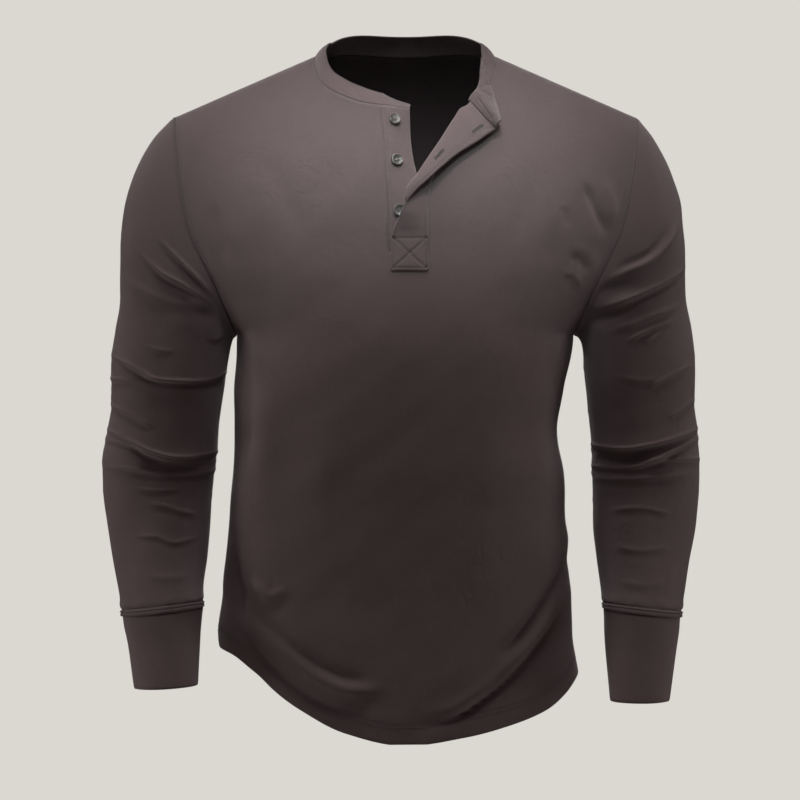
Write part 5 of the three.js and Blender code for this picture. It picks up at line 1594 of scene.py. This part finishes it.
@dataclass
class Shell:
    """A grid of cloth made into a thin wall with rolled edges.

    inward holds ways out to use instead of the grid's own. A grid of more than big points gets an inner face
    with half the rows and columns. roll is the share of the wall that each face draws back at an edge, and
    bulge how far the edge stands out between them.
    """

    name: str
    grid: Grid
    thick: float
    inward: Array | None = None
    big: int = 20000
    roll: float = 0.2
    bulge: float = 0.08

    def build(self, finishes: Materials) -> Object:
        """Returns the piece's object.

        Args:
            finishes: the outer face's finish and the inner face's.
        """
        grid, step = self.grid, 2 if self.grid.index().size > self.big else 1
        number, spots = grid.numbers(), grid.spots()
        fine, coarse = grid.faces(spots), grid.faces(spots, step)
        rim, inner_rim = self.open_edges(number, fine), self.open_edges(number, coarse)
        used = np.unique(number[fine])
        inside = np.unique(number[coarse])
        ends = np.unique(number[rim])
        outer = grid.points.reshape(-1, 3).copy()
        out = (grid.normals() if self.inward is None else self.inward).reshape(-1, 3)
        inner = outer - out * self.thick
        a, b = number[rim[:, 0]], number[rim[:, 1]]
        aside = np.zeros_like(outer)
        way = np.cross(outer[b] - outer[a], out[a])
        np.add.at(aside, a, way)
        np.add.at(aside, b, way)
        middle = outer - out * self.thick / 2 + unit(aside) * self.bulge
        outer[ends] -= out[ends] * self.thick * self.roll
        inner[ends] += out[ends] * self.thick * self.roll
        upper, lower, mid = (np.zeros(len(outer), int) for _ in range(3))
        upper[used] = np.arange(len(used))
        lower[inside] = len(used) + np.arange(len(inside))
        mid[ends] = len(used) + len(inside) + np.arange(len(ends))
        points = np.concatenate([outer[used], inner[inside], middle[ends]])
        faces = [*upper[number[fine]].tolist(), *lower[number[coarse]][:, ::-1].tolist()]
        faces += np.stack([upper[b], upper[a], mid[a], mid[b]], axis=1).tolist()
        start, end = inner_rim.T
        edge = [end, (start + end) // 2, start] if step == 2 else [end, start]
        turned = [*(mid[number[k]] for k in edge), lower[number[start]], lower[number[end]]]
        faces += np.stack(turned, axis=1).tolist()
        flat = grid.flat()
        uv = [flat[fine].reshape(-1, 2), flat[coarse][:, ::-1].reshape(-1, 2)]
        uv.append(flat[rim[:, [1, 0, 0, 1]]].reshape(-1, 2))
        uv.append(flat[np.stack([*edge, start, end], axis=1)].reshape(-1, 2))
        made = make_mesh(self.name, points, faces, finishes)
        layer = made.data.uv_layers.new(name="cloth")
        layer.data.foreach_set("uv", np.concatenate(uv).reshape(-1).astype(np.float32))
        which = np.zeros(len(faces), np.int32)
        which[len(fine) : len(fine) + len(coarse)] = len(finishes) - 1
        made.data.polygons.foreach_set("material_index", which)
        return made

    @staticmethod
    def open_edges(number: Array, faces: Array) -> Array:
        """Returns the edges that only one face has, each as the spots where it starts and ends."""
        edges = np.concatenate([np.stack([faces[:, k], faces[:, (k + 1) % 4]], axis=1) for k in range(4)])
        a, b = number[edges[:, 0]].astype(np.int64), number[edges[:, 1]].astype(np.int64)
        return edges[~np.isin(a * len(number) + b, b * len(number) + a)]


@dataclass
class Stitching:
    """Rows of sewing thread on the cloth, gathered into one mesh.

    profile says along a stitch where a ring of sides points stands, how far it is lifted and how wide it is,
    as shares of its length and radius. flat is how thick the thread lies against its width.
    """

    name: str
    sides: int = 5
    profile: tuple[Triple, ...] = (
        (0.0, -0.25, 0.6), (0.25, 0.35, 1.0), (0.75, 0.35, 1.0), (1.0, -0.25, 0.6),
    )
    flat: float = 0.8
    points: list[Array] = field(default_factory=list)
    faces: list[Array] = field(default_factory=list)
    count: int = 0

    def stitch(self, a: Array, b: Array, out: Array, radius: float = 0.32) -> None:
        """Adds stitches.

        Args:
            a: where each stitch goes in.
            b: where it comes out.
            out: the way out of the cloth there.
            radius: the thread's radius.
        """
        along = unit(b - a)
        side = unit(np.cross(along, out))
        angle = np.arange(self.sides) * 2 * math.pi / self.sides
        rings = []
        for share, lift, size in self.profile:
            middle = a + (b - a) * share + out * radius * lift
            spokes = [side * math.cos(t) + out * math.sin(t) * self.flat for t in angle]
            rings.append(np.stack([middle + spoke * radius * size for spoke in spokes], axis=1))
        points = np.stack(rings, axis=1)
        self.points.append(points.reshape(-1, 3))
        n, m = len(self.profile), self.sides
        index = np.arange(n * m).reshape(n, m)
        turned = np.roll(index, -1, axis=1)
        walls = np.stack([index[:-1], turned[:-1], turned[1:], index[1:]], axis=-1).reshape(-1, 4)
        base = self.count + np.arange(len(a))[:, None, None] * n * m
        self.faces.extend((walls[None] + base).reshape(-1, 4).tolist())
        for cap in (index[0, ::-1], index[-1]):
            self.faces.extend((cap[None] + base[:, 0]).tolist())
        self.count += len(a) * n * m

    def row(self, line: Array, out: Array, pitch: float = 3.0, long: float = 2.3, sway: float = 0.0) -> None:
        """Adds a row of stitches along a line.

        Args:
            line: points on the cloth.
            out: the ways out there.
            pitch: from one stitch to the next.
            long: each stitch's length.
            sway: how far a stitch's ends lie to each side, for a zigzag.
        """
        run = np.concatenate([[0], np.cumsum(np.linalg.norm(np.diff(line, axis=0), axis=1))])
        count = max(1, int(run[-1] / pitch))
        start = (np.arange(count) + 0.5) * run[-1] / count - long / 2

        def pick(values: Array, at: Array) -> Array:
            """Returns values at distances along the line."""
            return np.stack([np.interp(at, run, values[:, k]) for k in range(3)], axis=1)

        normal = unit(pick(out, start + long / 2))
        a, b = pick(line, start), pick(line, start + long)
        if sway:
            side = unit(np.cross(b - a, normal)) * sway * np.where(np.arange(count) % 2, 1, -1)[:, None]
            a, b = a - side, b + side
        self.stitch(a, b, normal)

    def build(self, finish: Material) -> Object:
        """Returns the stitches' object."""
        return make_mesh(self.name, np.concatenate(self.points), self.faces, [finish])


@dataclass
class Button:
    """A four-hole button sewn to the underlap. Sizes are millimetres."""

    name: str
    seat: Array
    out: Array
    radius: float = 6.3
    thick: float = 2.6
    hole_radius: float = 0.85
    hole_off: float = 1.45
    gap: float = 0.6
    lean: float = 0.0
    dish: float = 0.62
    sides: int = 56
    hole_sides: int = 18

    def frame(self) -> Array:
        """Returns the button's own axes as columns, turned by its lean."""
        across = unit(np.cross([0.0, 0.0, 1.0], self.out))
        up = np.cross(self.out, across)
        c, s = math.cos(self.lean), math.sin(self.lean)
        return np.stack([across * c + up * s, up * c - across * s, self.out], axis=1)

    def place(self, local: Array) -> Array:
        """Returns points given on the button's own axes, its back at height 0."""
        return self.seat + self.out * self.gap + local @ self.frame().T

    def disc(self, finish: Material) -> Object:
        """Returns the turned disc with its rim, dish and four holes."""
        r, t = self.radius, self.thick
        profile = [
            (0, 0.25), (r * 0.55, 0.1), (r * 0.86, 0), (r * 0.95, 0.18), (r * 0.995, 0.6), (r, t * 0.5),
            (r * 0.985, t * 0.78), (r * 0.94, t * 0.95), (r * 0.88, t), (r * 0.8, t * 0.97),
            (r * 0.74, t * 0.86), (r * 0.68, t * 0.74), (r * 0.58, t * 0.66), (r * 0.3, t * self.dish),
            (0, t * self.dish),
        ]
        sides = self.sides
        angle = np.arange(sides) * 2 * math.pi / sides
        c, s = np.cos(angle), np.sin(angle)
        rings = [np.stack([p * c, p * s, 0 * angle + h], axis=1) for p, h in profile[1:-1]]
        points = np.concatenate([[[0, 0, profile[0][1]]], *rings, [[0, 0, profile[-1][1]]]])
        faces: list[list[int]] = []
        last = len(points) - 1
        for k in range(sides):
            n = (k + 1) % sides
            faces.append([0, 1 + n, 1 + k])
            faces.append([last, last - sides + k, last - sides + n])
            for j in range(len(rings) - 1):
                a, b = 1 + j * sides, 1 + (j + 1) * sides
                faces.append([a + k, a + n, b + n, b + k])
        made = make_mesh(self.name, self.place(points), faces, [finish])
        for sx, sy in ((1, 1), (1, -1), (-1, 1), (-1, -1)):
            self.drill(made, sx * self.hole_off, sy * self.hole_off)
        return made

    def drill(self, disc: Object, x: float, y: float) -> None:
        """Cuts one hole through the disc."""
        n = self.hole_sides
        angle = np.arange(n) * 2 * math.pi / n
        ring = np.stack([x + self.hole_radius * np.cos(angle), y + self.hole_radius * np.sin(angle)], axis=1)
        low, high = (np.column_stack([ring, np.full(n, h)]) for h in (-1.0, self.thick + 1))
        walls = [[k, (k + 1) % n, n + (k + 1) % n, n + k] for k in range(n)]
        faces = [*walls, list(range(n - 1, -1, -1)), list(range(n, 2 * n))]
        cutter = make_mesh("hole_cutter", self.place(np.concatenate([low, high])), faces, [])
        cut = disc.modifiers.new("hole", "BOOLEAN")
        cut.operation, cut.solver, cut.object = "DIFFERENCE", "EXACT", cutter
        view = bpy.context.evaluated_depsgraph_get()
        mesh = bpy.data.meshes.new_from_object(disc.evaluated_get(view))
        disc.modifiers.clear()
        disc.data = mesh
        bpy.data.objects.remove(cutter)

    def sew(self, thread: Stitching) -> None:
        """Adds the thread through the holes and the shank under the button."""
        off, top = self.hole_off, self.thick * self.dish
        for x in (-off, off):
            for shift in (-0.3, 0.0, 0.3):
                ends = np.array([[x + shift, -off, top + 0.1], [x + shift, off, top + 0.1]])
                a, b = self.place(ends)
                thread.stitch(a[None], b[None], self.out[None], 0.22)
        for x, y in ((off, off), (off, -off), (-off, off), (-off, -off)):
            a, b = self.place(np.array([[x, y, top], [x * 0.6, y * 0.6, -self.gap - 0.1]]))
            thread.stitch(a[None], b[None], self.frame()[:, 0][None], 0.4)


@dataclass
class Sewing:
    """Every row of stitches that shows on the shirt, and its buttonholes.

    The rows' distances are from the hem, the armhole, the cuff and the neck seam. band_row is a share of the
    neckband's height. Each buttonhole is a row of the overlap's table and a share of its width.
    """

    front: Panel
    back: Panel
    arms: dict[Side, Arm]
    band: Neckband
    placket: Placket
    hem_rows: Pair = (17.0, 21.5)
    armhole_rows: Pair = (2.2, 6.2)
    cuff_rows: Pair = (2.6, 5.6)
    neck_row: float = 5.0
    band_row: float = 0.9
    holes: tuple[Pair, ...] = ((9.7, 0.88), (7.45, 0.75), (3.9, 0.6))
    cut_half: Pair = (6.2, 0.42)
    cut_sides: int = 20

    def hem(self) -> Stitching:
        """Returns the hem's twin rows, front and back."""
        rows = Stitching("hem_stitching")
        for panel in (self.front, self.back):
            columns = np.arange(2, panel.grid.points.shape[1] - 2)
            run = self.climb(panel.grid.points[:40])
            for off in self.hem_rows:
                row = np.array([np.interp(off, run[:, c], np.arange(40)) for c in columns])
                rows.row(*panel.grid.at(row, columns.astype(float)))
        return rows

    @staticmethod
    def climb(points: Array) -> Array:
        """Returns how far each row of points lies from the first, along the cloth."""
        return np.pad(np.cumsum(np.linalg.norm(np.diff(points, axis=0), axis=2), axis=0), ((1, 0), (0, 0)))

    def armholes(self) -> Stitching:
        """Returns the rows beside both armhole seams, the inner one on the right a zigzag."""
        rows = Stitching("armhole_stitching")
        for panel in (self.front, self.back):
            last = panel.grid.points.shape[1] - 1
            lines = np.arange(panel.foot + 10, panel.top + 1)
            for side in Side:
                columns = np.arange(26) if side is Side.RIGHT else last - np.arange(26)
                for off in self.armhole_rows:
                    line, out = panel.grid.inset(panel.armhole_edge(side)[0], lines, columns, off)
                    if side is Side.RIGHT and off == self.armhole_rows[0]:
                        rows.row(line, out, pitch=1.9, long=0.8, sway=1.5)
                    else:
                        rows.row(line, out)
        return rows

    def cuffs(self) -> Stitching:
        """Returns the rows above both cuffs' seams."""
        rows = Stitching("cuff_stitching")
        for arm in self.arms.values():
            points = arm.sleeve.points
            run = self.climb(points[:-41:-1])
            columns = np.arange(points.shape[1])
            for off in self.cuff_rows:
                row = np.array([np.interp(off, run[:, c], np.arange(40)) for c in columns])
                row = points.shape[0] - 1 - row
                line, out = arm.sleeve.at(row, np.minimum(columns, points.shape[1] - 1.001))
                rows.row(np.vstack([line, line[:1]]), np.vstack([out, out[:1]]))
        return rows

    def neck(self) -> Stitching:
        """Returns the row that holds the neck seam down on the panels, and the band's own row."""
        rows = Stitching("neck_stitching")
        for panel in (self.front, self.back):
            for side in Side:
                edge, _ = panel.neck_edge(side)
                columns = panel.centre[side] + side.value * np.arange(40)
                lines = np.arange(panel.top + 1 - len(edge), panel.top + 1)
                line, out = panel.grid.inset(edge, lines, columns, self.neck_row)
                skip = 10 if panel is self.front else 0
                rows.row(line[skip:], out[skip:])
        line = Placket.run(self.band.grid, 3, self.band_row * self.band.across, 3)
        rows.row(*line, pitch=2.7, long=2.0)
        return rows

    def strips(self) -> Stitching:
        """Returns the placket's edge rows, its box and cross, and its buttonholes."""
        rows = Stitching("placket_stitching")
        placket = self.placket
        line, out = placket.run(placket.under, placket.foot_row, placket.under_row, 1)
        rows.row(line, out, pitch=2.7, long=2.0)
        for turn, across in placket.box():
            rows.row(*placket.over.at(turn, across), pitch=2.7, long=2.1)
        near, far = placket.edge_columns()
        for column, inner in ((near, False), (near, True), (far, True), (far, False)):
            line, out = placket.run(placket.over, 2 * placket.over_steps + 1, column, 1)
            if inner:
                line, out = line - out * DOUBLE_WALL, -out
            rows.row(line, out, pitch=2.7, long=2.0)
        for hole in self.buttonholes():
            self.edge_hole(rows, *hole)
        return rows

    def buttonholes(self) -> list[tuple[Array, Array, Array]]:
        """Returns each buttonhole's middle, way along and way out, on the face that is turned out."""
        found = []
        for at, share in self.holes:
            rows = at * self.placket.over_steps + np.array([-1.0, 0.0, 1.0])
            line, out = self.placket.over.at(rows, np.full(3, share * self.placket.over_across))
            found.append((line[1] - out[1] * DOUBLE_WALL, unit(line[2] - line[0]), -out[1]))
        return found

    @staticmethod
    def edge_hole(rows: Stitching, middle: Array, along: Array, out: Array, half: float = 6.5) -> None:
        """Adds the close stitches round a buttonhole and the bars at its ends."""
        aside = unit(np.cross(out, along))
        at = np.linspace(-half, half, 23)[:, None]
        for sign in (-1, 1):
            inner = middle + along * at + aside * sign * 0.35 + out * 0.12
            rows.stitch(inner, inner + aside * sign * 1.5, np.repeat(out[None], len(at), 0), 0.27)
        for sign in (-1, 1):
            end = middle + along * sign * (half + 0.4) + out * 0.15
            rows.stitch((end - aside * 1.7)[None], (end + aside * 1.7)[None], out[None], 0.36)

    def slits(self, finish: Material) -> Object:
        """Returns thin dark leaves on the cloth inside the buttonholes: painted shade in their slits."""
        points, faces = [], []
        n, (long, wide) = self.cut_sides, self.cut_half
        for middle, along, out in self.buttonholes():
            aside = unit(np.cross(out, along))
            for height in (0.05, -0.25):
                base = len(points)
                for t in np.arange(n) * 2 * math.pi / n:
                    c, s = math.cos(t), math.sin(t)
                    points.append(middle + along * long * c + aside * wide * s + out * height)
                ring = list(range(base, base + n))
                faces.append(ring if height > 0 else ring[::-1])
            top = len(points) - 2 * n
            faces.extend([top + k, top + n + k, top + n + (k + 1) % n, top + (k + 1) % n] for k in range(n))
        return make_mesh("buttonhole_cuts", np.array(points), faces, [finish])


@dataclass(frozen=True)
class Lamp:
    """A soft light: where it hangs, what it points at, its size in metres, watts, fan in degrees and tint."""

    name: str
    at: Triple
    to: Triple
    size: Pair
    watts: float
    fan: float
    tint: Triple = (1.0, 1.0, 1.0)

    def hang(self) -> None:
        """Makes the light."""
        lamp = bpy.data.lights.new(self.name, "AREA")
        lamp.color = self.tint
        lamp.spread = math.radians(self.fan)
        lamp.shape = "RECTANGLE"
        lamp.size, lamp.size_y, lamp.energy = *self.size, self.watts
        made = bpy.data.objects.new(self.name, lamp)
        made.location = self.at
        made.rotation_euler = (Vector(self.to) - Vector(self.at)).to_track_quat("-Z", "Y").to_euler()
        bpy.context.scene.collection.objects.link(made)


LAMPS = (
    Lamp("overhead_box", (0.0, -0.35, 1.3), (0.0, -0.05, -0.3), (1.6, 0.5), 20.5, 180),
    Lamp("chest_box", (0.0, -0.6, 0.5), (0.0, -0.1, -0.11), (0.36, 0.14), 0.22, 22),
    Lamp("chest_fill", (0.0, -0.9, 0.3), (0.0, -0.1, -0.1), (0.36, 0.14), 0.14, 19, (0.7, 1.0, 1.0)),
    Lamp("side_box_right", (-1.7, -0.25, -0.4), (-0.2, 0.0, -0.4), (0.5, 1.2), 6.0, 150),
    Lamp("side_box_left", (1.7, -0.25, -0.4), (0.2, 0.0, -0.4), (0.5, 1.2), 4.4, 150),
    Lamp("back_box", (0.0, 2.3, 0.7), (0.0, 0.1, -0.3), (1.8, 0.7), 26.0, 120),
)


@dataclass
class Studio:
    """The camera, the lights and the pale paper the shirt is photographed on.

    distance, frame and aim are the camera's, in metres: how far off it stands, how wide it sees there and the
    X and Z that it looks at. The paper's sizes are millimetres.
    """

    paper: StudioPaper
    distance: float = 3.0
    frame: float = 0.832
    aim: Pair = (-0.0052, -0.3536)
    floor_z: float = -1000.0
    reach: float = 6500.0
    wall_y: float = 3700.0
    wall_top: float = 4200.0
    sweep: float = 900.0
    room_tint: Triple = (1.0, 0.86, 0.86)
    room_glow: float = 0.075

    def build(self) -> None:
        """Sets everything up."""
        bpy.context.scene.view_settings.view_transform = "Standard"
        self.camera()
        self.sheet()
        for lamp in LAMPS:
            lamp.hang()
        bpy.context.scene.world = self.room()

    def room(self) -> World:
        """Returns the dim warm room, which looks as pale as the paper behind it."""
        world = bpy.data.worlds.new("studio")
        world.use_nodes = True
        nodes, links = world.node_tree.nodes, world.node_tree.links
        dim = nodes["Background"]
        dim.inputs["Color"].default_value = (*self.room_tint, 1)
        dim.inputs["Strength"].default_value = self.room_glow
        pale = nodes.new("ShaderNodeBackground")
        pale.inputs["Color"].default_value = (*self.paper.shown, 1)
        path, mix = nodes.new("ShaderNodeLightPath"), nodes.new("ShaderNodeMixShader")
        links.new(path.outputs["Is Camera Ray"], mix.inputs["Fac"])
        links.new(dim.outputs[0], mix.inputs[1])
        links.new(pale.outputs[0], mix.inputs[2])
        links.new(mix.outputs[0], nodes["World Output"].inputs["Surface"])
        return world

    def camera(self) -> None:
        """Makes the camera: level, in front of the chest, framing the photograph's width."""
        lens = bpy.data.cameras.new("camera")
        lens.sensor_width = 36.0
        lens.lens = lens.sensor_width / 2 / (self.frame / 2 / self.distance)
        made = bpy.data.objects.new("camera", lens)
        made.location = (self.aim[0], -self.distance, self.aim[1])
        made.rotation_euler = (math.radians(90), 0, 0)
        bpy.context.scene.collection.objects.link(made)
        bpy.context.scene.camera = made

    def sheet(self) -> None:
        """Makes the paper: a floor that sweeps up into a wall, far enough back to be walked round."""
        profile = [(-self.reach, self.floor_z), (self.wall_y, self.floor_z)]
        for k in range(1, 13):
            t = k / 12 * QUARTER
            y, z = self.wall_y + self.sweep * math.sin(t), self.floor_z + self.sweep * (1 - math.cos(t))
            profile.append((y, z))
        profile.append((self.wall_y + self.sweep, self.wall_top))
        points = [(x, y, z) for y, z in profile for x in (-self.reach, self.reach)]
        faces = [[2 * k, 2 * k + 1, 2 * k + 3, 2 * k + 2] for k in range(len(profile) - 1)]
        make_mesh("studio_floor", np.array(points), faces, [self.paper.material()])


class Shirt:
    """The whole shirt."""

    def __init__(self) -> None:
        """Cuts every piece."""
        form = BodyForm()
        self.front, self.back = Panel(form, FRONT), Panel(form, BACK)
        self.arms = {side: Arm(side, self.front, self.back) for side in Side}
        self.placket = Placket(form, self.front)
        self.band = Neckband(self.front, self.back, self.placket)
        self.sewing = Sewing(self.front, self.back, self.arms, self.band, self.placket)

    def dress(self, finishes: Finishes) -> None:
        """Makes every piece's mesh and hides the frame's node that each cloth and button stands for."""
        # the inner faces of the panels, sleeves and cuffs take the reverse finish, darkened as painted shade
        # of the inside
        both, plain = (finishes.jersey, finishes.reverse), (finishes.jersey,)
        self.cloth("front", self.front.grid, WALL, self.front.normals, both, (0.63, 0.72), 0.29)
        self.cloth("back", self.back.grid, WALL, self.back.normals, both, (0.63, 0.74), 0.3)
        for side, area, depth in ((Side.RIGHT, 0.148, 0.072), (Side.LEFT, 0.146, 0.084)):
            arm, letter = self.arms[side], side.name[0]
            self.cloth(f"sleeve_{letter}", arm.sleeve, WALL, arm.sleeve_in, both, (0.47, 0.56), area)
            self.cloth(f"cuff_{letter}", arm.cuff, DOUBLE_WALL, arm.cuff_in, both, (0.235, depth))
        band_in = self.band.grid.normals()
        band_in[:, 0] = self.band.base_out
        self.cloth("neckband", self.band.grid, DOUBLE_WALL, band_in, plain, (0.55, 0.024))
        under_in = self.placket.under.normals()
        under_in[:, 0] = self.placket.slit_out
        self.cloth("placket_under", self.placket.under, DOUBLE_WALL, under_in, plain, (0.035, 0.155))
        self.cloth("placket_over", self.placket.over, DOUBLE_WALL, None, plain, (0.037, 0.2))
        self.buttons(finishes)
        sewing = self.sewing
        for rows in (sewing.hem(), sewing.armholes(), sewing.cuffs(), sewing.neck(), sewing.strips()):
            self.keep(rows.build(finishes.thread), "jersey")
        # dark leaves in the buttonholes: painted shade of their slits
        self.keep(sewing.slits(finishes.reverse), "jersey")

    def cloth(
        self,
        node: str,
        grid: Grid,
        thick: float,
        inward: Array | None,
        finishes: Materials,
        cut: Pair,
        area: float | None = None,
    ) -> None:
        """Makes one piece of cloth in its node's place.

        Args:
            node: the node it stands for.
            grid: its outer face.
            thick: its wall.
            inward: ways out to use instead of the grid's own.
            finishes: its outer and inner finish.
            cut: the width and length it was cut to; not used.
            area: its flat area where the cut isn't a rectangle; not used.
        """
        made = Shell(f"{node}_cloth", grid, thick, inward).build(finishes)
        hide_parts(node)
        self.keep(made, "jersey")

    def buttons(self, finishes: Finishes) -> None:
        """Makes the three buttons and the thread that holds them."""
        thread = Stitching("button_thread")
        for k, (x, z) in enumerate(BUTTONS):
            seat, out = self.placket.seat(x, z)
            button = Button(f"button_{k + 1}_disc", seat, out, lean=0.35 * (k - 1) + 0.1)
            made = button.disc(finishes.horn)
            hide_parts(f"button_{k + 1}")
            self.keep(made, "button")
            button.sew(thread)
        self.keep(thread.build(finishes.thread), "jersey")

    @staticmethod
    def keep(made: Object, slot: str) -> None:
        """Makes a piece ride on the body and logs how many faces it has."""
        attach(made, BODY)
        LOG.info("%s: %d faces", made.name, len(made.data.polygons))


def main() -> None:
    """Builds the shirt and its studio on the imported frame."""
    logging.basicConfig(level=logging.INFO, format="%(name)s: %(message)s")
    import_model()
    finishes = Finishes()
    Studio(StudioPaper()).build()
    Shirt().dress(finishes)


if __name__ == "__main__":
    main()
